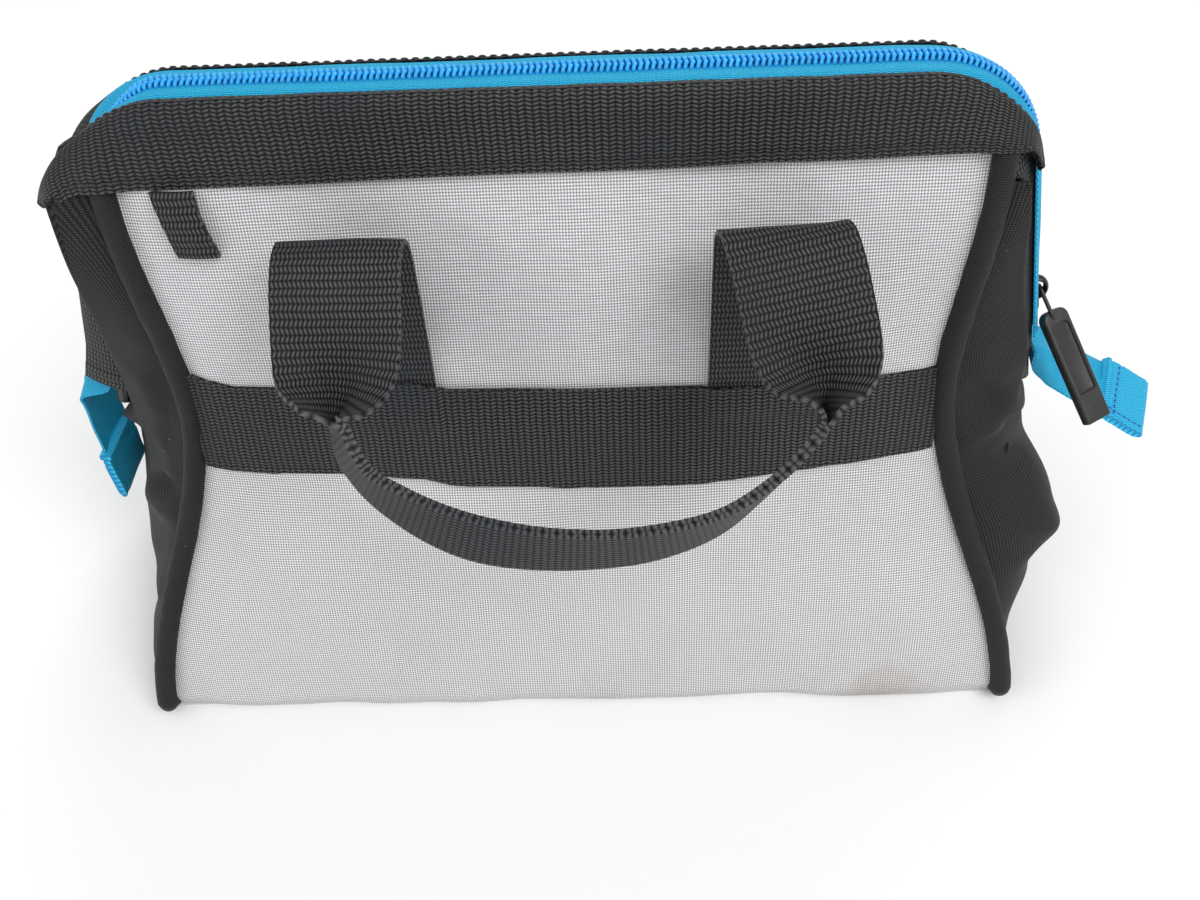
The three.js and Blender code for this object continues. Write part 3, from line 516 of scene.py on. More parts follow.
def grey_cloth(base):
    """Coated cloth: pale threads, dark gaps, painted light low down, soil near the base and one stain at the
    right.
    """
    shader = Shader("grey_cloth", 0.7, sheen=0.12, specular=0.3)
    height = shader.weave(0.00096, 0.00022, aspect=0.00100 / 0.00096)
    streak = shader.ramp(shader.noise(120.0, 2.0, vector=shader.fibres(14.0)), 0.35, 0.65)
    tint = shader.mix(streak, scaled(base, 0.93), scaled(base, 1.06))
    up = shader.parts(shader.place())[2]
    # Painted light: below about 0.1 m, with a ragged edge, the cloth is painted a little lighter and warmer.
    patch = (shader.noise(9.0, 2.0) - 0.5) * 0.16
    tint = shader.mix(shader.ramp(up + patch, 0.06, 0.13, 0.9, 0.0), tint, scaled(base, (1.03, 1.02, 1.0)))
    colour = shader.toned(tint, shader.ramp(height, 0.2, 0.95, 0.24, 1.46))
    soil = shader.ramp(shader.noise(24.0, 6.0, 0.65), 0.47, 0.72)
    colour = shader.mix(shader.ramp(up, 0.055, 0.0) * soil * 0.22, colour, (0.30, 0.22, 0.15))
    far = shader.wire("VectorMath", "Value", enumerate((shader.place(), STAIN_PLACE_M)), operation="DISTANCE")
    stain = shader.ramp(far + soil * -0.012, 0.018, 0.002, 0.0, 0.34)
    shader.colour(shader.mix(stain, colour, (0.24, 0.17, 0.12)))
    crumple = shader.bump(shader.noise(60.0, 4.0, 0.55), 0.0012, 0.4)
    shader.bump(height, 0.00026, 0.9, Normal=crumple)
    return shader.material


def black_cloth(base, name="black_cloth", pitch=0.00080, twill=0.0):
    shader = Shader(name, 0.55, sheen=0.02, specular=0.14)
    height = shader.weave(pitch, 0.00014, twill)
    colour = shader.toned(base, shader.ramp(height, 0.3, 1.0, 0.1, 4.0))
    cloud = shader.ramp(shader.noise(16.0, 4.0), 0.45, 0.8)
    colour = shader.mix(cloud * 0.12, colour, (0.060, 0.052, 0.046))
    shader.colour(shader.lint(colour, 0.55))
    crumple = shader.bump(shader.noise(85.0, 5.0, 0.55), 0.0010, 0.35)
    shader.bump(height, 0.00022, 0.85, Normal=crumple)
    return shader.material


def webbing(base, name, pitch, low, high, rough=0.6, specular=0.2, depth=0.35, black=False):
    """Ribbed webbing: painted highlights make its floats lighter than the ground between them."""
    shader = Shader(name, rough, sheen=0.02, specular=specular)
    height = shader.ribs(*pitch, depth)
    fibre = shader.ramp(shader.noise(900.0, 2.0, vector=shader.fibres(9.0)), 0.3, 0.7, 0.7, 1.15)
    # Painted highlight: high lifts the floats far above the base colour, as glints on glossy threads.
    colour = shader.mix(height * fibre, scaled(base, low), scaled(base, high))
    if black:
        blue = shader.ramp(shader.noise(13.0, 2.0), 0.5, 0.7, 0.0, 0.35)
        colour = shader.lint(shader.mix(blue, colour, (0.010, 0.015, 0.024)), 0.4)
    shader.colour(colour)
    shader.bump(height, 0.00036, 0.9)
    return shader.material


def coil(base):
    shader = Shader("zipper_coil", 0.32, specular=0.55)
    cloud = shader.ramp(shader.noise(300.0, 2.0), 0.3, 0.7)
    shader.colour(shader.mix(cloud, scaled(base, 0.85), scaled(base, 1.2)))
    shader.bump(shader.noise(2500.0, 1.0), 0.00005, 0.5)
    return shader.material


def moulded(base, name="moulded_plastic", rough=0.42):
    shader = Shader(name, rough, specular=0.5)
    wear = shader.ramp(shader.noise(180.0, 5.0, 0.65), 0.45, 0.7)
    shader.colour(shader.mix(wear * 0.35, base, tuple(c + 0.03 for c in base)))
    shader.rough(shader.ramp(shader.noise(420.0, 4.0), 0.3, 0.7, rough - 0.08, rough + 0.14))
    shader.bump(shader.noise(2200.0, 2.0), 0.00006, 0.6)
    return shader.material


def enamel():
    shader = Shader("slider_enamel", 0.3, metallic=0.35, specular=0.6)
    wear = shader.ramp(shader.noise(500.0, 5.0, 0.7), 0.62, 0.7)
    shader.colour(shader.mix(wear, (0.015, 0.015, 0.016), (0.16, 0.15, 0.14)))
    shader.bump(shader.noise(1200.0, 3.0), 0.00004, 0.5)
    return shader.material


def wire_metal():
    shader = Shader("drawn_wire", 0.34, metallic=1.0)
    streak = shader.noise(900.0, 4.0)
    shader.colour(shader.mix(streak, (0.44, 0.44, 0.45), (0.62, 0.61, 0.60)))
    shader.rough(shader.ramp(streak, 0.3, 0.7, 0.26, 0.48))
    return shader.material


def thread(name, colour):
    shader = Shader(name, 0.55, sheen=0.2)
    twist = shader.noise(2600.0, 2.0)
    shader.colour(shader.mix(twist, scaled(colour, 0.7), scaled(colour, 1.3)))
    shader.bump(twist, 0.0001, 0.7)
    return shader.material


MATERIALS = {}


def materials():
    """All finishes, made once."""
    if not MATERIALS:
        colours = bpy.context.scene.bag_colours
        black, blue, plastic = tuple(colours.black_cloth), tuple(colours.zipper), tuple(colours.plastic)
        MATERIALS.update(
            grey=grey_cloth(tuple(colours.grey_cloth)), black=black_cloth(black),
            piping=black_cloth(black, "piping_cloth", 0.0007, 0.5),
            lining=black_cloth(black, "lining_cloth", 0.0005),
            # The high tone of the webbing, the tape and the tab is painted highlight on their floats.
            webbing=webbing(tuple(colours.webbing), "webbing", (0.0022, 0.00131), 0.08, 10.0, rough=0.46,
                            specular=0.14, depth=0.92, black=True),
            tape=webbing(blue, "zipper_tape", (0.0012, 0.00062), 0.62, 1.9),
            tab=webbing(blue, "tab_webbing", (0.0014, 0.0011), 0.62, 1.9),
            coil=coil(blue), plastic=moulded(plastic), board=moulded((0.03, 0.03, 0.031), "board_sheet", 0.5),
            slider=enamel(), wire=wire_metal(), thread=thread("black_thread", (0.02, 0.02, 0.021)),
            blue_thread=thread("blue_thread", (0.01, 0.09, 0.42)))
    return MATERIALS


def paint(name, finish):
    """Give a carried-over CAD node its finish."""
    node = NODES[name]
    node.data.materials.clear()
    node.data.materials.append(materials()[finish])


# Panels

# Folds of a panel: start and end as x and s, then depth and width.
PANEL_CREASES = (((-55, 98), (-12, 30), -1.6, 11), ((-6, 90), (6, 14), 1.4, 12),
                 ((60, 96), (34, 22), -1.5, 10), ((88, 205), (112, 150), 1.9, 13),
                 ((-96, 205), (-60, 160), -1.3, 9), ((20, 206), (2, 152), 1.2, 14))


def panel_rise(x, s, side=1):
    """How far the grey cloth stands out of the panel plane."""
    from_edge = panel_half(s) - np.abs(x)
    inside = smooth(from_edge / 26)
    lower = np.sin(np.pi * np.clip(s / STRIPE_LOW, 0, 1)) ** 0.8 * 3.6
    upper = np.sin(np.pi * np.clip((s - STRIPE_HIGH) / (BAND_LOW - STRIPE_HIGH), 0, 1)) ** 0.8 * 2.2
    puff = np.where(s < STRIPE_LOW, lower, np.where(s > STRIPE_HIGH, upper, 0)) * inside
    seed = 3 if side > 0 else 103
    skew = x * 0.82 + s * 0.57
    soft = relief(seed, skew, (s - 0.35 * x) * 0.55, 34) + 0.6 * relief(seed + 1, skew, s * 0.7, 15)
    free = smooth(np.minimum(np.abs(s - STRIPE_LOW), np.abs(s - STRIPE_HIGH)) / 14) * (0.35 + 0.65 * inside)
    folds = sum(crease(x, s, *fold) for fold in PANEL_CREASES)
    valley = -1.3 * bell(from_edge, 3.2) * smooth(s / 12)
    return puff + size("wrinkle_depth") / MM * soft * free + folds + valley


class BagPanels(bpy.types.Operator):
    """Make the grey front and rear panels"""
    bl_idname = "bag.panels"
    bl_label = "Grey panels"

    def execute(self, context):
        s = np.concatenate([np.linspace(0, 10, 14)[:-1], np.linspace(10, BAND_LOW + 9, 137)])[:, None]
        x = np.linspace(-1, 1, 190) * (panel_half(s) + 0.6)
        for half, side in HALVES:
            turned_in = 5.0 * (1 - smooth(s / 9))
            outer = panel_point(x, s + 0.8, 1.4 + panel_rise(x, s, side) - turned_in)
            sheet(half + "_panel_cloth", outer, under(outer, size("cloth_thickness") / MM), (x, s), "grey",
                  "grey_fabric", half + "_side", half + "_panel", side)
        return {"FINISHED"}


class BagTrim(bpy.types.Operator):
    """Make the webbing stripe, the piping, the band over the mouth and the hang loop"""
    bl_idname = "bag.trim"
    bl_label = "Stripe, piping and band"

    def execute(self, context):
        thick = size("webbing_thickness") / MM
        for half, side in HALVES:
            self.stripe(half, side, thick)
            self.piping(half, side)
            self.band(half, side, thick)
        self.hang_loop()
        return {"FINISHED"}

    def stripe(self, half, side, thick):
        t, u = down_and_across(30, 170)
        x = u * (panel_half((STRIPE_LOW + STRIPE_HIGH) / 2) + 1.5)
        # The edges bow: at each of these places across, how far the low and the high edge are lifted.
        places = (-130, -113, -70, -50, -38, 0, 50, 90, 130)
        low = STRIPE_LOW + 1.3 * relief(11, x, 0, 34) + 0.2 * relief(14, x, 0, 4)
        low = low + np.interp(x, places, (8, 7.5, 7, 6.5, 3, 0, 0, 5, 8))
        high = STRIPE_HIGH + 1.2 * relief(12, x, 0, 37) + 0.2 * relief(15, x, 0, 4)
        high = high + np.interp(x, places, (7.5, 3.5, 5.5, 7, 3, 2, 2, 2.5, 3))
        s = low + (high - low) * t
        crown = 0.7 * np.sin(np.pi * t) ** 0.5
        seam = -0.45 * (bell(t - 0.08, 0.03) + bell(t - 0.92, 0.03))
        sway = 0.8 * relief(13, x, s, 26)
        legs = sum(smooth((STRAP_WIDTH / 2 + 3 - np.abs(x - at)) / 5) for at in HANDLE_LEGS)
        over_legs = 1.9 * legs * smooth((s - STRIPE_HIGH + 13) / 6)
        off = 1.9 + panel_rise(x, s, side) * 0.6 + crown + seam + sway + thick * 0.6 + over_legs
        outer = panel_point(x, s, off)
        sheet(half + "_stripe_webbing", outer, under(outer, thick), (x, s), "webbing", "webbing",
              half + "_side", half + "_stripe", side)

    def piping(self, half, side):
        s = np.linspace(7, BAND_LOW + 4, 110)
        for word, way in ENDS:
            path = panel_point(way * (panel_half(s) + PIPING_RADIUS + 0.35), s, 1.0)
            x, y, _ = path[0]
            curl = [[x - way * 1.5, y + 7, 4.2], [x, y + 3.2, 4.6]]
            path = resample(np.concatenate([curl, path]), 130)
            seed = 20 + (way > 0) + (side > 0) * 2
            rings, uv = round_tube(path, PIPING_RADIUS, 18, (0, -1, 0.3),
                                   lambda a, b: (0.22 * relief(seed, a, b * 9, 9)
                                                 + 0.12 * relief(seed + 7, a, b * 3, 4)))
            make(f"{half}_{word}_piping_cord", *tube(mirrored(rings, side), uv), "piping", "piping_fabric",
                 half + "_side", f"{half}_{word}_piping")

    def band(self, half, side, thick):
        """Webbing that bulges over the wire, with its top edge on the tape, and hoods round both corners."""
        corner, straight = 30, 130
        b = np.concatenate([np.linspace(1, 0, corner), np.zeros(straight), np.linspace(0, 1, corner)])
        sign = np.repeat((-1.0, 0.0, 1.0), (corner, straight, corner))
        left = sign < 0
        flat = np.linspace(-MOUTH_TOP_HALF, MOUTH_TOP_HALF, straight + 2)[1:-1]
        flat = np.concatenate([np.full(corner, -MOUTH_TOP_HALF), flat, np.full(corner, MOUTH_TOP_HALF)])
        phi = math.pi / 2 - b * (math.pi / 2 - LEG_SPLAY)
        rim = CORNER_RADIUS + (0.4 if side > 0 else -1.2) - 2.2 * smooth(b * 1.7)
        edge = (0.22 if side > 0 else 0.1) * relief(33, flat + sign * 50 * b, 0, 7)
        top = joined(flat + sign * rim * np.cos(phi), -9.8 + 0.9 * smooth(b * 2 - 1) + edge,
                     ZIP_HEIGHT - CORNER_RADIUS + rim * np.sin(phi))
        hood = np.where(left, 161.0, 152.5) - MOUTH_TOP_HALF
        low_x = flat + sign * hood * np.cos(phi) / math.cos(LEG_SPLAY)
        drop = np.where(left, 9 * smooth(b * 1.9 - 0.9), 10 * smooth(b * 3 - 2))
        low_s = BAND_LOW + 2.4 + 1.7 * low_x / 140 - drop + 0.35 * relief(31, low_x, 0, 24)
        low = panel_point(np.clip(low_x, -134, 134), low_s, 3.6 + 1.9 * bell(np.abs(low_x) - 138, 7))
        low[:, 0] = low_x
        low[:, 1] += 8.0 * smooth(b * 2.6 - 1.6)
        chord = top - low
        length = np.linalg.norm(chord, axis=1)
        heading = joined(sign * np.cos(phi), 0, np.sin(phi))
        lean = 0.42 * (1 - smooth(b)) + np.where(left, 0.8, 0.25) * smooth(b)
        out = lean[:, None] * heading - [0, 1, 0]
        out = unit(out - np.sum(out * chord, 1, keepdims=True) / length[:, None] ** 2 * chord)
        t = np.linspace(0, 1, 40)
        knots = (0, 0.26, 0.5, 0.68, 0.8, 0.9, 1)
        along = catmull(knots, (0, 0.27, 0.55, 0.75, 0.88, 0.97, 1), t)
        rise = catmull(knots, (0, 1.2, 2.7, 4.1, 4.1, 2.6, 0), t)
        t = t[:, None]
        seam = -0.4 * (bell(t - 0.11, 0.03) + bell(t - 0.9, 0.03))
        scale = (length / 29.4) ** 0.8 * (1 if side > 0 else 0.6)
        puff = np.sin(np.pi * t ** 0.85) * np.where(left, 4.9 * smooth(b * 1.15), 0.6 * smooth(b * 1.5))
        run = along_path(top)
        sway = 0.4 * relief(32, run, 26 * t, 17) * np.sin(np.pi * t)
        outer = (low + along[:, None, None] * chord + (rise[:, None] * scale)[..., None] * out
                 + puff[..., None] * heading + (sway + seam)[..., None] * out)
        sheet(half + "_band_webbing", outer, under(outer, thick, out), (run, 30 * t), "webbing", "webbing",
              half + "_side", half + "_band", side)
        lines = [mirrored((outer + out * 0.12)[row, 4:-4], side) for row in (4, 36)]
        stitched(half + "_band_stitches", lines, "thread", half + "_side")

    def hang_loop(self):
        t, u = down_and_across(26, 14)
        s = BAND_LOW + 1 - 21.5 * t
        x = -115.2 + 4.2 * t + 6.9 * u * (1 - 0.05 * np.sin(np.pi * t))
        off = 4.8 + panel_rise(x, s) + 1.2 * np.sin(np.pi * t) - 0.5 * u * u
        outer = panel_point(x, s, off)
        sheet("hang_loop_webbing", outer, under(outer, 2.6), (s, x), "webbing", "webbing", "front_side",
              "hang_loop")


# Sides

FOLD_TOP, FOLD_CLEAR = 99.0, 106.5
GUSSET_FOOT, GUSSET_FOLD, GUSSET_SHOULDER = 176.0, 180.0, 174.0
GUSSET_WIDEST_AT = 62.0
GUSSET_GAP = 0.15
# Where the front fold of a side stands: height and how far out. The left one is tucked in above the base.
FRONT_FOLDS = {
    -1: ((2, 174), (20, 176), (45, 177), (62, 175.5), (75, 171), (85, 166.5), (95, 163.5), (113, 162),
         (137, 160.3), (153, 160), (168, 160), (181, 159.8), (195, 158.4), (208, 156.6)),
    1: ((2, 176), (62, 180), (110, 170), (136, 163.5), (154, 158), (166, 154.8), (177, 152.6), (190, 150.7),
        (203, 147.5)),
}
# Creases of each half gusset: start and end as across and height, then depth and width.
FOLDS = {
    (-1, 1): (((-4, 92), (40, 80), -4.6, 4.2), ((2, 80), (52, 70), 3.2, 5), ((14, 60), (40, 30), -1.6, 7),
              ((4, 150), (16, 100), -1.5, 5), ((12, 30), (46, 12), 1.4, 6)),
    (1, 1): (((8, 96), (70, 74), -4.4, 6), ((6, 70), (66, 40), 3.0, 7), ((20, 48), (72, 18), -3.2, 6),
             ((6, 140), (40, 104), 2.6, 6), ((10, 122), (46, 88), -3.2, 5)),
    (-1, -1): (((8, 110), (62, 66), -4.0, 6), ((8, 62), (56, 30), 2.8, 6)),
    (1, -1): (((8, 100), (66, 60), -4.0, 6), ((10, 66), (60, 34), 2.8, 6), ((6, 144), (36, 110), -2.4, 6)),
}


def fold_point(z):
    """The middle edge of a half gusset at each height: x and y."""
    low = z < GUSSET_WIDEST_AT
    t = np.where(low, z / GUSSET_WIDEST_AT, (FOLD_TOP - z) / (FOLD_TOP - GUSSET_WIDEST_AT))
    end = np.where(low, GUSSET_FOOT, GUSSET_SHOULDER)
    x = end + (GUSSET_FOLD - end) * smooth(t)
    t = np.clip((z - FOLD_TOP) / (FOLD_CLEAR - FOLD_TOP), 0, 1)
    high_x = leg_x(z, WIRE_DROP) + (GUSSET_SHOULDER - leg_x(FOLD_TOP, WIRE_DROP)) * (1 - t)
    high_y = -GUSSET_GAP - (-WIRE_Y + 6.1) * smooth(t)
    return np.where(z <= FOLD_TOP, x, high_x), np.where(z <= FOLD_TOP, -GUSSET_GAP, high_y)


def bowed(start_x, start_y, run_x, run_y, t, out):
    """Points at t of a straight run, moved out to its side."""
    length = np.hypot(run_x, run_y)
    return start_x + run_x * t + run_y / length * out, start_y + run_y * t - run_x / length * out


def gusset_grid(way, side):
    """Points of a half gusset, the distance across it, the heights and the share across it."""
    z = np.linspace(1.2, 208 if way < 0 and side > 0 else 203, 150)[:, None]
    t = np.linspace(0, 1, 64)[None, :]
    s = np.clip(z / math.cos(LEAN), 1, BAND_LOW)
    edge_x, edge_y, _ = np.moveaxis(panel_point(panel_half(s) + PIPING_RADIUS - 1.5, s, -2.6), -1, 0)
    fold_x, fold_y = fold_point(z)
    width = np.hypot(fold_x - edge_x, fold_y - edge_y)
    across = t * width
    foot = smooth(z / 14 * 0.8 + 0.35)
    bulge = np.minimum(20 * bell(z - GUSSET_WIDEST_AT, 42), width / 3) + 2.5 * np.minimum(1, width / 40)
    seed = 200 + (way > 0) * 10 + (side > 0) * 20
    free = np.sin(np.pi * t) ** 0.6 * np.clip(width / 40, 0.2, 1)
    folds = 1.7 * relief(seed, across * 0.9 + z * 0.5, z * 0.6 - across * 0.3, 22)
    folds = folds + 0.8 * relief(seed + 1, across, z, 10)
    folds = free * (folds + sum(crease(across, z, *fold) for fold in FOLDS[(way, side)]))
    out = bulge * foot * np.sin(np.pi * t) ** 0.8 + folds
    x, y = bowed(edge_x, edge_y, fold_x - edge_x, fold_y - edge_y, t, out)
    if side > 0:
        # A front half gusset runs from the panel to a front fold, then back to the middle. The right one does
        # so only above 106 mm.
        heights, places = np.transpose(FRONT_FOLDS[way])
        front_x = np.clip(catmull(heights, places, z), 140, 181)
        front_y, turn = -20.5, 0.74
        a, b = np.clip(t / turn, 0, 1), np.clip((t - turn) / (1 - turn), 0, 1)
        lift = (1.6 + 3.6 * bell(z - 38, 30)) * np.sin(np.pi * a)
        lift = lift + 6 * bell(z - 14, 14) * np.sin(np.pi * a ** 0.5) * foot
        lift = lift + folds * np.sin(np.pi * a) ** 0.5
        near = bowed(edge_x, edge_y, front_x - edge_x, front_y - edge_y, a, lift)
        tuck = smooth((z - 106) / 10)
        far = (front_x + (fold_x - 4.5 * tuck - front_x) * b, front_y + (fold_y + 2.5 * tuck - front_y) * b)
        other = np.where(t < turn, near, far)
        for _ in range(6):
            other[..., 1:-1] = (other[..., :-2] + 2 * other[..., 1:-1] + other[..., 2:]) / 4
        x, y = (x, y) + (other - (x, y)) * (smooth((z - 106) / 24) if way > 0 else 1)
    return joined(way * x, y, z), across, z, t


def middle_weight(z):
    """How much of the frame's motion keeps the middle of a side on the bag's centre plane."""
    side_open, frame_open = math.radians(18), math.radians(42.5)
    by_side = BASE_DEPTH / 2 * (math.cos(side_open) - 1) - z * math.sin(side_open)
    by_frame = -WIRE_Y * math.cos(frame_open) - (z - LEG_PIVOT_Z) * math.sin(frame_open) + WIRE_Y
    return np.where(z >= LEG_PIVOT_Z, 1.0, np.clip(-by_side / np.maximum(by_frame - by_side, 1e-6), 0, 1))


class BagSides(bpy.types.Operator):
    """Make the four half gussets that fold between the panels"""
    bl_idname = "bag.sides"
    bl_label = "Side gussets"

    def execute(self, context):
        for half, side in HALVES:
            for word, way in ENDS:
                outer, across, z, t = gusset_grid(way, side)
                inner = under(outer, size("cloth_thickness") / MM, (way, -0.4, 0))
                thing = sheet(f"{half}_{word}_gusset_cloth", outer, inner, (across, z), "black",
                              "black_fabric", side=side)
                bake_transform(thing)
                weight = np.tile((middle_weight(z) * t ** 1.2).ravel(), 2).astype(np.float32)
                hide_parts(f"{half}_{word}_gusset")
        return {"FINISHED"}


# Zipper


def instanced(name, lines, shape, pitch, finish, upward):
    """Copies of a small shape along lines of points, by Geometry Nodes, as one plain mesh."""
    edges, start = [], 0
    for line in lines:
        edges += [(start + i, start + i + 1) for i in range(len(line) - 1)]
        start += len(line)
    carrier = mesh_object(name, np.concatenate(lines), edges=edges)
    single = mesh_object(name + "_single", *shape)
    tree = bpy.data.node_groups.new(name + "_tree", "GeometryNodeTree")
    inputs = [tree.interface.new_socket(label, in_out="INPUT", socket_type="NodeSocket" + kind).identifier
              for label, kind in (("Geometry", "Geometry"), ("Spacing", "Float"), ("Part", "Object"),
                                  ("Finish", "Material"))]
    tree.interface.new_socket("Geometry", in_out="OUTPUT", socket_type="NodeSocketGeometry")
    entry, leave, to_curve, even, points, tangent, turn_x, turn_z, info, real, painted = (
        tree.nodes.new(kind) for kind in (
            "NodeGroupInput", "NodeGroupOutput", "GeometryNodeMeshToCurve", "GeometryNodeResampleCurve",
            "GeometryNodeInstanceOnPoints", "GeometryNodeInputTangent", "FunctionNodeAlignRotationToVector",
            "FunctionNodeAlignRotationToVector", "GeometryNodeObjectInfo", "GeometryNodeRealizeInstances",
            "GeometryNodeSetMaterial"))
    even.mode = "LENGTH"
    turn_x.axis, turn_z.axis = "X", "Z"
    turn_z.pivot_axis = "X"
    turn_z.inputs["Vector"].default_value = upward
    for source, output, target, socket in (
            (entry, "Geometry", to_curve, 0), (to_curve, 0, even, "Curve"),
            (entry, "Spacing", even, "Length"), (even, 0, points, "Points"),
            (entry, "Part", info, "Object"), (info, "Geometry", points, "Instance"),
            (tangent, 0, turn_x, "Vector"), (turn_x, 0, turn_z, "Rotation"),
            (turn_z, 0, points, "Rotation"), (points, 0, real, 0),
            (real, 0, painted, "Geometry"), (entry, "Finish", painted, "Material"), (painted, 0, leave, 0)):
        tree.links.new(source.outputs[output], target.inputs[socket])
    modifier = carrier.modifiers.new("copies", "NODES")
    modifier.node_group = tree
    for identifier, value in zip(inputs[1:], (pitch, single, materials()[finish])):
        modifier[identifier] = value
    bpy.context.view_layer.update()
    ready = carrier.evaluated_get(bpy.context.evaluated_depsgraph_get())
    copies = bpy.data.meshes.new_from_object(ready)
    spent = (carrier.data, single.data)
    carrier.modifiers.clear()
    carrier.data = copies
    bpy.data.objects.remove(single)
    for mesh in spent:
        bpy.data.meshes.remove(mesh)
    copies.name = name
    return carrier


def tooth_shape():
    """One turn of the coil: a rounded bar that leans from the tape to the middle, with a wider head."""
    path = resample([[-0.35, -2.75, -0.5], [-0.3, -2.5, 0.45], [-0.05, -1.7, 0.95], [0.25, -0.7, 0.95],
                     [0.4, 0.15, 0.2]], 9)
    reach = (0.42, 0.56, 0.6, 0.6, 0.62, 0.66, 0.7, 0.66, 0.45)
    return tube(round_tube(path, reach, 8, (1, 0, 0))[0])[:2]


def stitched(name, lines, finish, body, length=2.3, radius=0.34, pitch=None):
    """Rows of thread stitches along lines of points."""
    path = [[x, 0, 0.28 * (1 - (2 * x / length) ** 2) - 0.1] for x in np.linspace(-length / 2, length / 2, 7)]
    reach = radius * np.array([0.35, 0.85, 1, 1, 1, 0.85, 0.35])
    shape = tube(round_tube(path, reach, 7)[0])[:2]
    rows = instanced(name, lines, shape, pitch or size("stitch_pitch"), finish, (0, -0.5, 0.8))
    settle(rows, body, ())


class BagZipper(bpy.types.Operator):
    """Make the zipper's tapes and coil, the joined tails and their folded end tabs"""
    bl_idname = "bag.zipper"
    bl_label = "Zipper"

    def execute(self, context):
        for half, side in HALVES:
            self.tape(half, side)
            self.teeth(half, side, size("tooth_pitch"))
        for word, way in ENDS:
            self.tail(word, way)
        return {"FINISHED"}

    def inset(self, outline):
        """How far the zipper sinks under the left hood and in above the slider."""
        x, z = outline[:, 0], outline[:, 1]
        left = 4.5 * smooth((-x - 116) / 22) * smooth((z - 128) / 20)
        right = 3.6 * np.clip((230 - z) / 75, 0, 1) * smooth((z - 122) / 14) * (x > 0)
        return (left + right)[:, None]

    def tape(self, half, side):
        outline = mouth_outline(0, 131)
        seat, angle = 5.1, math.radians(110)
        seat_n, seat_y = WIRE_DROP - seat * math.sin(angle), -WIRE_Y - seat * math.cos(angle)
        run = along_path(outline[:, :2])[:, None]
        t = np.linspace(0, 1, 16)
        n = -seat_n * smooth((t - 0.5) / 0.5) - 0.35 + 0.35 * smooth(t / 0.4)
        n = n + 0.25 * relief(41 + (side > 0), run, 12 * t, 13) * np.sin(np.pi * t)
        n = n - self.inset(outline) * (1 - smooth(t / 0.8))
        outer, inner = (swept(outline, level, -0.5 + (-seat_y + 0.5) * t) for level in (n, n - 0.8))
        sheet(half + "_zipper_tape_cloth", outer, inner, (run, t * 12), "tape", "zipper_tape",
              half + "_frame", half + "_zipper_tape", side)

    def teeth(self, half, side, pitch):
        outline = mouth_outline(0, 132)
        path = swept(outline, -self.inset(outline), 0)[:, 0]
        if side < 0:
            # The rear row starts half a turn later, so that the two rows mesh.
            path[0] += unit(path[1] - path[0]) * pitch / MM / 2
        coils = instanced(half + "_coil", [path], tooth_shape(), pitch, "coil", (0, 0, 1))
        if side < 0:
            places = np.zeros(len(coils.data.vertices) * 3)
            coils.data.vertices.foreach_get("co", places)
            coils.data.vertices.foreach_set("co", mirrored(places.reshape(-1, 3), -1).ravel())
            coils.data.flip_normals()
            coils.data.update()
        settle(coils, half + "_frame", half + "_zipper_teeth")

    def tail(self, word, way):
        slope = TAIL_SLOPES[way]
        shear, rise, shift = TAIL_SHEAR[way]
        start_x, start_z = TAIL_BEND
        end = (start_x + TAIL_LENGTH * math.cos(slope), start_z - TAIL_LENGTH * math.sin(slope))
        path = resample([(leg_x(TAIL_TOP, 2.5), TAIL_TOP), (leg_x(118, 2.3), 118),
                         (start_x - 2.5 * math.cos(slope), start_z + 3 * math.sin(slope)), (start_x, start_z),
                         ((start_x + end[0]) / 2, (start_z + end[1]) / 2), end], 60)
        tangent = unit(np.gradient(path, axis=0))
        run = along_path(path)[:, None]
        v = np.linspace(-TAIL_HALF, TAIL_HALF, 40)[None, :]
        free = smooth(run / 25)
        curl = free * (0.7 * relief(51 + (way > 0), run, v, 15) + 0.8 * np.cos(v / TAIL_HALF * 2.2))

        def place(level):
            x = path[:, :1] - tangent[:, 1:] * level + free * (shear * v - shift)
            return joined(way * x, v, path[:, 1:] + tangent[:, :1] * level + free * rise * v)

        level = curl + 0.75 * bell(v, 2.1)
        sheet(f"{word}_tail_tape", place(level), place(level - 0.8), (run, v), "tape", "zipper_tape",
              "zipper_ends", f"{word}_zipper_tail")
        self.tab(word, way, end, slope)

    def tab(self, word, way, end, slope):
        """A length of webbing folded over the tail's end, with a doubled edge, and stitched across."""
        shear, rise, shift = TAIL_SHEAR[way]
        run = np.concatenate([np.linspace(-13.5, -8.5, 16)[:-1], np.linspace(-8.5, 13.5, 44)])[:, None]
        v = np.linspace(-TAB_HALF, TAB_HALF, 36)[None, :]
        seam_run, seam_v = -5.5, -10.4
        fold = smooth((run + 13.6) / 1.2)
        thick = (1.75 + 0.75 * fold * (1 - smooth((run + 10.6) / 1.0))) * (1 - 0.75 * (1 - fold))
        thick = thick - 0.95 * smooth((run - 10.5) / 3) - 0.55 * bell(run + 9.6, 0.55)
        wave = 0.5 * relief(61 + (way > 0), run, v, 12)
        seam = 0.3 * bell(run - seam_run - v * 0.12, 0.8)
        seam = seam + 0.3 * bell(v - seam_v, 0.7) * smooth((run + 6) / 2)
        height = thick * (1 - 0.12 * (v / TAB_HALF) ** 8) - seam

        def place(level):
            along = run + 0.06 * v
            x = end[0] + math.cos(slope) * along + math.sin(slope) * level + shear * v - shift
            return joined(way * x, v, end[1] - math.sin(slope) * along + math.cos(slope) * level + rise * v)

        sheet(f"{word}_tab_webbing", place(wave + height), place(wave - height), (run, v), "tab",
              "tab_webbing", "zipper_ends", f"{word}_end_tab")
        face = place(height + wave + 0.12)
        across = face[np.argmin(np.abs(run - seam_run)), 3:-3]
        beside = face[16:-6, np.argmin(np.abs(v - seam_v))]
        stitched(f"{word}_tab_stitches", [across, beside], "blue_thread", "zipper_ends",
                 length=1.9, radius=0.3, pitch=0.0027)


# Slider and pull


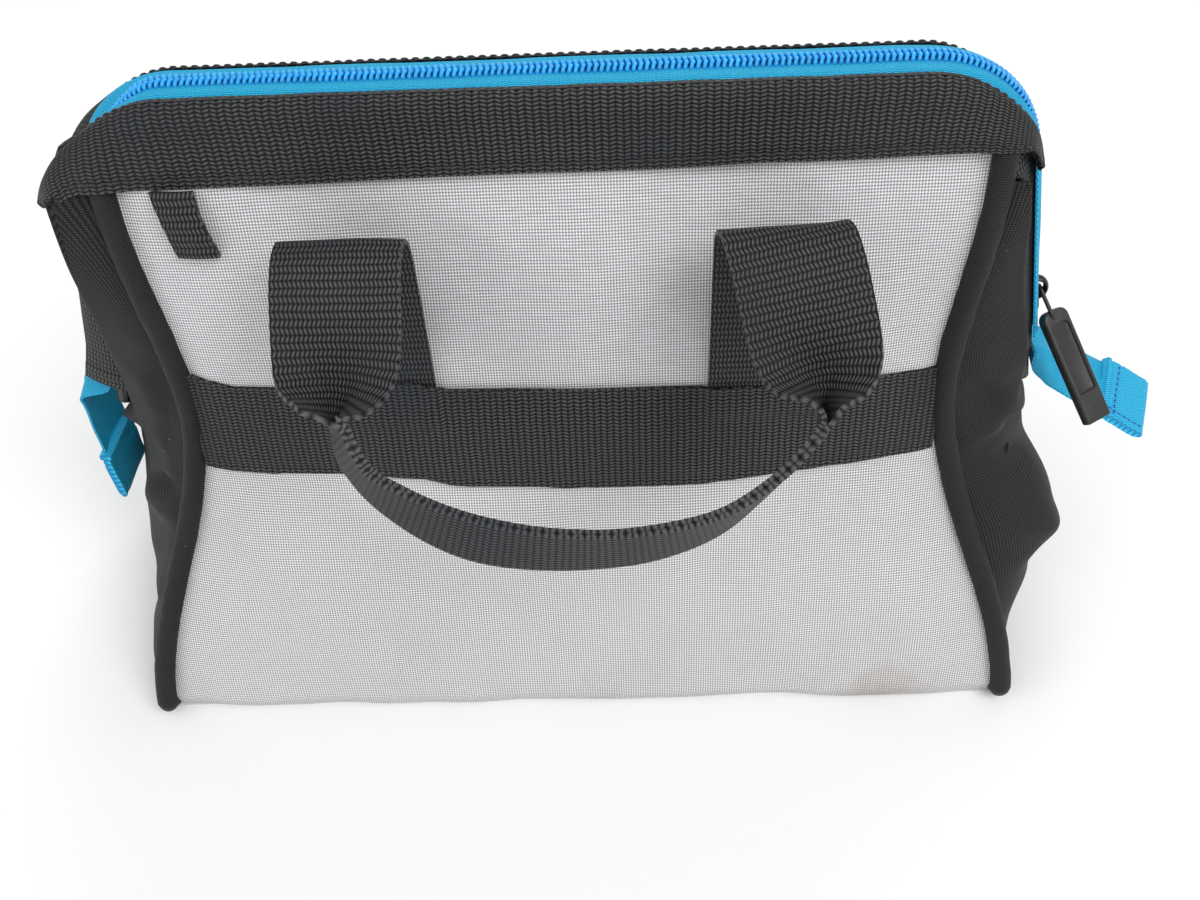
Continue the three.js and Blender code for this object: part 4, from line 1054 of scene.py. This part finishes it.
def rounded_outline(half_width, low, high, top_radius, low_radius, count=72):
    """Points round a bar, as across and down: its upper end, at low, has the top radius."""
    turn = np.linspace(0, 2 * math.pi, count, endpoint=False)
    c, s = np.cos(turn), np.sin(turn)
    radius = np.where(s >= 0, low_radius, top_radius)
    return joined(np.sign(c) * (half_width - radius) + radius * c,
                  np.where(s >= 0, high - radius, low + radius) + radius * s)


class BagSlider(bpy.types.Operator):
    """Make the slider with its bail, the link and the pull"""
    bl_idname = "bag.slider"
    bl_label = "Slider and pull"

    def execute(self, context):
        side = unit(np.array([0, 1.0, 0]) - PULL_DOWN[1] * PULL_DOWN)
        face = np.cross(PULL_DOWN, side)
        self.link(side, face)
        self.slider()
        self.pull(side, face)
        return {"FINISHED"}

    def slider(self):
        """Two rounded plates, the web between them, and a flat bail bent over the front plate."""
        middle = np.array([leg_x(SLIDER_HEIGHT), 0, SLIDER_HEIGHT]) - SLIDER_SET
        axes = np.array([[math.cos(LEG_SPLAY), 0, math.sin(LEG_SPLAY)], [0, 1, 0],
                         [-math.sin(LEG_SPLAY), 0, math.cos(LEG_SPLAY)]])
        outline = rounded_outline(6.0, -7.5, 7.5, 4.2, 2.6, 48)
        outline[:, 0] *= 1 - 0.16 * smooth((outline[:, 1] + 2) / 9)
        solids = []
        for low, high in ((1.9, 3.1), (-3.1, -1.9)):
            levels = (low, low + 0.15, low + 0.4, high - 0.4, high - 0.15, high)
            solids.append([joined(level, outline[:, 0] * share, outline[:, 1] * share)
                           for level, share in zip(levels, (0.9, 0.98, 1, 1, 0.98, 0.9))])
        turn = np.linspace(0, 2 * math.pi, 12, endpoint=False)
        solids.append([joined(level, 0.7 * np.cos(turn), 5.3 + 1.7 * np.sin(turn))
                       for level in np.linspace(-2.6, 2.6, 5)])
        turn = np.linspace(0.02, math.pi - 0.02, 26)
        bow = middle + joined(2.7 + 4.1 * np.sin(turn) ** 0.85, 0, 4.3 * np.cos(turn)) @ axes
        bail = round_tube(bow, 0.85, 12, (0, 1, 0))[0]
        bail[..., 1] *= 2.1
        points, faces = np.zeros((0, 3)), []
        for rings in [middle + np.array(solid) @ axes for solid in solids] + [bail]:
            new_points, new_faces, _ = tube(rings)
            faces += [tuple(i + len(points) for i in face) for face in new_faces]
            points = np.concatenate([points, new_points])
        make("slider_shell", points, faces, points[:, 1:], "slider", "slider_metal", "slider_body", "slider",
             sharp=40)

    def link(self, side, face):
        """A flat wire loop from the bail into the pull."""
        loop = rounded_outline(2.7, -0.4, 12.4, 2.4, 1.5, 48)
        loop = np.concatenate([loop, loop[:1]])
        rings, uv = round_tube(PULL_PIVOT + loop[:, :1] * side + loop[:, 1:] * PULL_DOWN, 0.72, 10, face)
        points, faces, uvs = tube(rings[:-1], uv[:-1], False)
        last = len(points) - 10
        faces += [(last + i, last + (i + 1) % 10, (i + 1) % 10, i) for i in range(10)]
        make("link_loop", points, faces, uvs, "slider", "slider_metal", "pull_body", "pull_link")

    def pull(self, side, face):
        """A moulded bar with a round top, a raised border and a bare recess."""
        front = math.cos(PULL_TWIST) * face - math.sin(PULL_TWIST) * side
        across = math.cos(PULL_TWIST) * side + math.sin(PULL_TWIST) * face
        half = 1.95
        bar_half, bar_low, bar_high, bar_top_radius, bar_low_radius = 5.5, 9.5, 52.5, 3.4, 0.9
        recess_half, recess_low, recess_high, recess_top_radius, recess_low_radius = 4.2, 14.5, 41.5, 1.6, 1.2
        rings = []
        for level, inset in ((-half, 1.0), (-half + 0.12, 0.55), (-half + 0.45, 0.15), (-half + 0.9, 0),
                             (half - 0.8, 0), (half - 0.35, 0.12), (half - 0.08, 0.5), (half, 0.85)):
            outline = rounded_outline(bar_half - inset, bar_low + inset, bar_high - inset,
                                      bar_top_radius - inset, max(bar_low_radius - inset, 0.3))
            rings.append((level, outline))
        for level, inset in ((half - 0.02, 0), (half - 0.25, 0.18), (half - 0.95, 0.35), (half - 1.2, 0.75)):
            outline = rounded_outline(recess_half - inset, recess_low + inset, recess_high - inset,
                                      recess_top_radius, recess_low_radius)
            rings.append((level, outline))
        grid = []
        for level, outline in rings:
            a, d = outline[:, :1], outline[:, 1:]
            narrowed = a * (1 - 0.05 * (d - 11) / 44)
            grid.append(PULL_PIVOT + front * level + across * narrowed + PULL_DOWN * d)
        grid = np.array(grid)
        points, faces, _ = tube(grid)
        uvs = joined((points - PULL_PIVOT) @ across, (points - PULL_PIVOT) @ PULL_DOWN)
        make("pull_moulding", points, faces, uvs, "plastic", "pull_plastic", "pull_body", "zipper_pull",
             sharp=40)


# Handles

# A handle's run from the panel to the pinch: up the slope, outwards, the flap's turn in degrees and the fold
# in radians.
LEG_RUN = ((138, 1.7, -90, 0), (146, 2.3, -90, 0), (154, 4.0, -88, 0), (167, 6.4, -84, 0),
           (183, 10.0, -80, 0), (196, 13.0, -72, 0), (204.5, 16.5, -48, 0), (208.3, 22.5, 0, 0),
           (206.3, 29.5, 45, 0), (199, 36, 68, 0.05), (189, 40.5, 78, 0.2), (180, 42.6, 82, 0.6),
           (173, 43.6, 80, 1.3), (167.5, 45, 74, 2.1), (163, 47, 64, 2.75))
# The folded grip's crease: across, up the slope, outwards, then the direction of its flaps.
GRIP_RUN = ((-64.4, 159, 49.7, .35, .55, .76), (-63.0, 153.5, 53.3, .42, .58, .69),
            (-58, 145.6, 57.1, .37, .66, .65), (-45.2, 135.3, 63.1, .33, .82, .46),
            (-27.7, 127.1, 68.2, .24, .92, .3), (-8, 122.8, 69, .16, .93, .34),
            (10.3, 121.5, 67.7, .03, .91, .42), (30, 123, 65.8, -.1, .86, .5),
            (49.4, 129.1, 61.3, -.18, .72, .68), (63.8, 140, 56.2, -.17, .54, .82),
            (75.6, 151.2, 52, -.17, .49, .86), (80.6, 156.4, 49.5, -.15, .55, .82))
STRAP_COLUMNS = 41


def strap_section(fold):
    """Across the strap, folded lengthwise by fold radians: offsets along its width and towards its flaps."""
    half = STRAP_WIDTH / 2
    u = np.linspace(-1, 1, STRAP_COLUMNS)
    w = np.sign(u) * np.abs(u) ** 1.5 * half
    fine = np.linspace(-half, half, 1201)
    lean = fold / 2 * np.clip(fine / (9.0 - 7.65 * fold / math.pi), -1, 1)
    offsets = []
    for rate in (np.cos(lean), np.sin(lean)):
        total = np.concatenate([[0], np.cumsum((rate[1:] + rate[:-1]) / 2 * (fine[1] - fine[0]))])
        offsets.append(np.interp(w, fine, total - total[600]))
    return (*offsets, w)


def handle_stations(side):
    """Stations along a whole handle: across, up the slope, outwards, the flaps' direction and the fold."""
    last = len(LEG_RUN) - 1
    left, right = [], []
    for i, (s, off, angle, fold) in enumerate(LEG_RUN):
        flap = (0, math.cos(math.radians(angle)), math.sin(math.radians(angle)), fold)
        t = max(0, (i - 7) / (last - 7))
        left.append((HANDLE_LEGS[0] - 3.0 * t ** 3, s, off, *flap))
        t = max(0, (i - 6) / (last - 6))
        right.append((HANDLE_LEGS[1] + 11 * smooth(t * 1.1), s, off - 1.2 * t, *flap))
    stations = np.array(left + [row + (math.pi,) for row in GRIP_RUN] + right[::-1], float)
    if side < 0:
        stations[:, 0] = np.interp(stations[:, 0], (-64.4, -61, 69, 80.6), (-70, -66.4, 66.4, 71))
    return stations


class BagHandles(bpy.types.Operator):
    """Make the two webbing handles"""
    bl_idname = "bag.handles"
    bl_label = "Handles"

    def execute(self, context):
        for half, side in HALVES:
            self.handle(half, side, size("webbing_thickness") / MM)
        return {"FINISHED"}

    def handle(self, half, side, thick):
        stations = handle_stations(side)
        knots = along_path(stations[:, :3])
        even = np.linspace(0, knots[-1], 300)
        values = np.stack([catmull(knots, column, even) for column in stations.T], -1)
        axes = np.array([[1, 0, 0], [0, math.sin(LEAN), math.cos(LEAN)],
                         [0, -math.cos(LEAN), math.sin(LEAN)]])
        centre = values[:, :3] @ axes - [0, BASE_DEPTH / 2, 0]
        along = unit(np.gradient(centre, axis=0))
        wide = unit(np.cross(values[:, 3:6] @ axes, along))
        flap = np.cross(along, wide)
        middle = []
        for place, fold, width_way, flap_way in zip(centre, values[:, 6], wide, flap):
            across, depth, w = strap_section(float(np.clip(fold, 0.001, math.pi)))
            middle.append(place + across[:, None] * width_way + depth[:, None] * flap_way)
        middle = np.array(middle)
        lift = normals(middle)
        even = even[:, None]
        free = smooth(even / 30) * smooth((even[-1] - even) / 30)
        sway = 0.4 * free * relief(71 + (side > 0), even, w, 16)
        middle = middle + lift * (sway * (1 - 0.8 * values[:, 6:] / math.pi))[..., None]
        lift = lift * thick / 2
        thing = sheet(half + "_handle_webbing", middle + lift, middle - lift, (even, w), "webbing", "webbing",
                      side=side)
        start, end = (mirrored(panel_point(0, 200, off), side) * MM for off in (15, 27))
        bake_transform(thing)
        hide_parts(half + "_handle_grip", half + "_left_handle_leg", half + "_right_handle_leg")


# Wire bows and base


class BagFrame(bpy.types.Operator):
    """Finish the wire bows and make the sleeves on their legs"""
    bl_idname = "bag.frame"
    bl_label = "Wire bows"

    def execute(self, context):
        for half, side in HALVES:
            paint(half + "_frame_wire", "wire")
            for word, way in ENDS:
                paint(f"{half}_{word}_wire_cap", "plastic")
                self.sleeve(half, side, word, way)
        return {"FINISHED"}

    def sleeve(self, half, side, word, way):
        """Webbing folded round a leg of the bow, flat in front of it, with a hem at its low end."""
        rows, columns = 80, 12
        outline = mouth_outline(WIRE_DROP, 121.5, straight=2)
        outline = resample(outline[len(outline) // 2:][9:], rows)
        run = along_path(outline[:, :2])[:, None]
        t = run / run[-1]
        outer_n = 1.8 + 0.6 * t
        if way < 0 and side > 0:
            outer_n = np.interp(t, (0, 0.1, 0.3, 0.62, 0.85, 1), (6, 10.5, 9.8, 9.0, 10.2, 12.6))
        deep = 5.4 if side > 0 else 8.6
        hem = 0.5 * smooth((t - 0.93) / 0.01)
        at, knots = np.linspace(0, 1, columns), np.linspace(0, 1, 6)
        front_n = -5.5 + (outer_n + 5.5) * np.interp(at, knots, (1, 0.82, 0.55, 0.28, 0.05, -0.02))
        front_y = -11.3 - deep * np.interp(at, knots, (0, 0.22, 0.46, 0.66, 0.84, 1)) - hem
        front_y = front_y - 1.1 * np.sin(np.pi * at)
        front_y = front_y + 0.35 * relief(81 + (way > 0), run, np.arange(columns) * 1.6, 9)
        back = np.array([(-5.2, -9.6 - deep), (-5.6, -13.2), (-4.9, -9.4), (-3.2, -6.2), (0, -4.95),
                         (2.6, -5.9), (3.9, -8.2)])
        back_n, back_y = (np.tile(values, (rows, 1)) for values in back.T)
        n = np.concatenate([front_n, back_n, np.maximum(outer_n - 0.4, 3.9)], 1)
        y = np.concatenate([front_y, back_y, np.full((rows, 1), -10.1)], 1)
        across = along_path(joined(n.mean(0), y.mean(0)))
        rings = swept(outline, n, y) * [way, side, 1]
        make(f"{half}_{word}_sleeve_webbing", *tube(rings, joined(run, across)), "webbing", "webbing",
             half + "_frame", f"{half}_{word}_sleeve")


class BagBase(bpy.types.Operator):
    """Make the base cloth and the lining walls, and finish the base board"""
    bl_idname = "bag.base"
    bl_label = "Base and lining"

    def execute(self, context):
        paint("base_board", "board")
        u, v = np.linspace(-1, 1, 110)[None, :], np.linspace(-1, 1, 60)[:, None]
        x = 173.4 * u * np.sqrt(1 - 0.0022 * v ** 8)
        y = 79.6 * v * np.sqrt(1 - 0.0022 * u ** 8)
        low = joined(x, y, 0.14 + 0.12 * relief(91, x, y, 25))
        sheet("base_cloth", joined(x, y, 1.75), low, (x, y), "black", "black_fabric", "base", "base_panel")
        for word, way in ENDS:
            self.lining(word, way)
        return {"FINISHED"}

    def lining(self, word, way):
        top = 92
        z = np.linspace(2.3, top, 50)[:, None]
        t = np.linspace(-1, 1, 50)[None, :]
        y = t * (BASE_DEPTH / 2 - 24 - z * math.tan(LEAN))
        x = 163 + 8 * z / top - 6 * t * t * z / top + 0.9 * relief(95 + (way > 0), y, z, 20)
        tucked = smooth(0.35 - 1.2 * t) * (way < 0)
        outer = joined(way * (x - 11 * tucked * (z / top) ** 2), y, z * (1 - 0.14 * tucked))
        sheet(f"{word}_lining_cloth", outer, under(outer, 1.2, (way, 0, 0)), (y, z), "lining",
              "lining_fabric", "base", f"{word}_lining")


# Stage

PHOTO_WIDTH_PIXELS, FOCAL_PIXELS = 1200, 1077.11
CAMERA_PLACE_M = (0.02333, -0.29555, 0.40197)
CAMERA_AZIMUTH, CAMERA_ELEVATION, CAMERA_ROLL = (math.radians(angle) for angle in (2.5, 49.02, -3.3))
# Name, place and size in metres, and power in watts.
LIGHTS = (("key", (0.9, -0.8, 1.5), 0.9, 15), ("fill", (-1.3, -0.7, 1.1), 1.4, 9),
          ("back", (0.3, 1.4, 1.3), 1.2, 10))


class BagStage(bpy.types.Operator):
    """Make the floor, the light and the camera"""
    bl_idname = "bag.stage"
    bl_label = "Floor, light and camera"

    def execute(self, context):
        scene = context.scene
        self.camera(scene)
        self.floor()
        self.world(scene)
        for name, place, width, power in LIGHTS:
            light = bpy.data.lights.new(name, "AREA")
            light.size = width
            light.energy = power
            lamp = bpy.data.objects.new(name, light)
            lamp.location = place
            aim = Vector((0, 0, 0.1)) - Vector(place)
            lamp.rotation_euler = aim.to_track_quat("-Z", "Y").to_euler()
            scene.collection.objects.link(lamp)
        scene.view_settings.view_transform = "Standard"
        return {"FINISHED"}

    def camera(self, scene):
        flat = math.cos(CAMERA_ELEVATION)
        ahead = Vector((-math.sin(CAMERA_AZIMUTH) * flat, math.cos(CAMERA_AZIMUTH) * flat,
                        -math.sin(CAMERA_ELEVATION)))
        right = Vector((math.cos(CAMERA_AZIMUTH), math.sin(CAMERA_AZIMUTH), 0))
        up = right.cross(ahead)
        turned_right = math.cos(CAMERA_ROLL) * right + math.sin(CAMERA_ROLL) * up
        turned_up = -math.sin(CAMERA_ROLL) * right + math.cos(CAMERA_ROLL) * up
        lens = bpy.data.cameras.new("camera")
        lens.sensor_width = 36
        lens.lens = FOCAL_PIXELS / PHOTO_WIDTH_PIXELS * lens.sensor_width
        lens.clip_start = 0.02
        camera = bpy.data.objects.new("camera", lens)
        turn = Matrix((turned_right, turned_up, -ahead)).transposed().to_4x4()
        camera.matrix_world = Matrix.Translation(CAMERA_PLACE_M) @ turn
        scene.collection.objects.link(camera)
        scene.camera = camera

    def floor(self):
        reach = 8 / MM
        floor = mesh_object("floor", [(-reach, -reach, 0), (reach, -reach, 0), (reach, reach, 0),
                                      (-reach, reach, 0)], [(0, 1, 2, 3)])
        floor.location.z = -0.0004
        paper = Shader("floor_paper", 0.9, specular=0.1)
        paper.colour((0.93, 0.93, 0.93))
        floor.data.materials.append(paper.material)

    def world(self, scene):
        """Soft white light from all round, and plain white where the camera sees past the floor."""
        world = bpy.data.worlds.new("world")
        world.use_nodes = True
        scene.world = world
        tree = world.node_tree
        background = tree.nodes["Background"]
        background.inputs["Strength"].default_value = 0.62
        background.inputs["Color"].default_value = (1, 1, 1, 1)
        plain, choose, ray = (tree.nodes.new("ShaderNode" + kind)
                              for kind in ("Background", "MixShader", "LightPath"))
        plain.inputs["Strength"].default_value = 1.0
        for source, target, socket in (
                (ray.outputs["Is Camera Ray"], choose, 0), (background.outputs[0], choose, 1),
                (plain.outputs[0], choose, 2), (choose.outputs[0], tree.nodes["World Output"], 0)):
            tree.links.new(source, target.inputs[socket])


class BagSidebar(bpy.types.Panel):
    """Lists the pieces of the tool bag"""
    bl_idname = "VIEW3D_PT_tool_bag"
    bl_label = "Tool bag"
    bl_space_type = "VIEW_3D"
    bl_region_type = "UI"
    bl_category = "Tool bag"

    def draw(self, context):
        for group in (context.scene.bag_sizes, context.scene.bag_colours):
            for name in group.__annotations__:
                self.layout.prop(group, name)
        for operator in OPERATORS:
            self.layout.operator(operator.bl_idname)


OPERATORS = (BagPanels, BagTrim, BagSides, BagZipper, BagSlider, BagHandles, BagFrame, BagBase, BagStage)
CLASSES = (BagSizes, BagColours, *OPERATORS, BagSidebar)


def register():
    for item in CLASSES:
        bpy.utils.register_class(item)
    bpy.types.Scene.bag_sizes = bpy.props.PointerProperty(type=BagSizes)
    bpy.types.Scene.bag_colours = bpy.props.PointerProperty(type=BagColours)


def unregister():
    del bpy.types.Scene.bag_colours
    del bpy.types.Scene.bag_sizes
    for item in reversed(CLASSES):
        bpy.utils.unregister_class(item)


def main():
    register()
    for operator in OPERATORS:
        group, name = operator.bl_idname.split(".")
        getattr(getattr(bpy.ops, group), name)()
    bpy.context.view_layer.update()


if __name__ == "__main__":
    main()
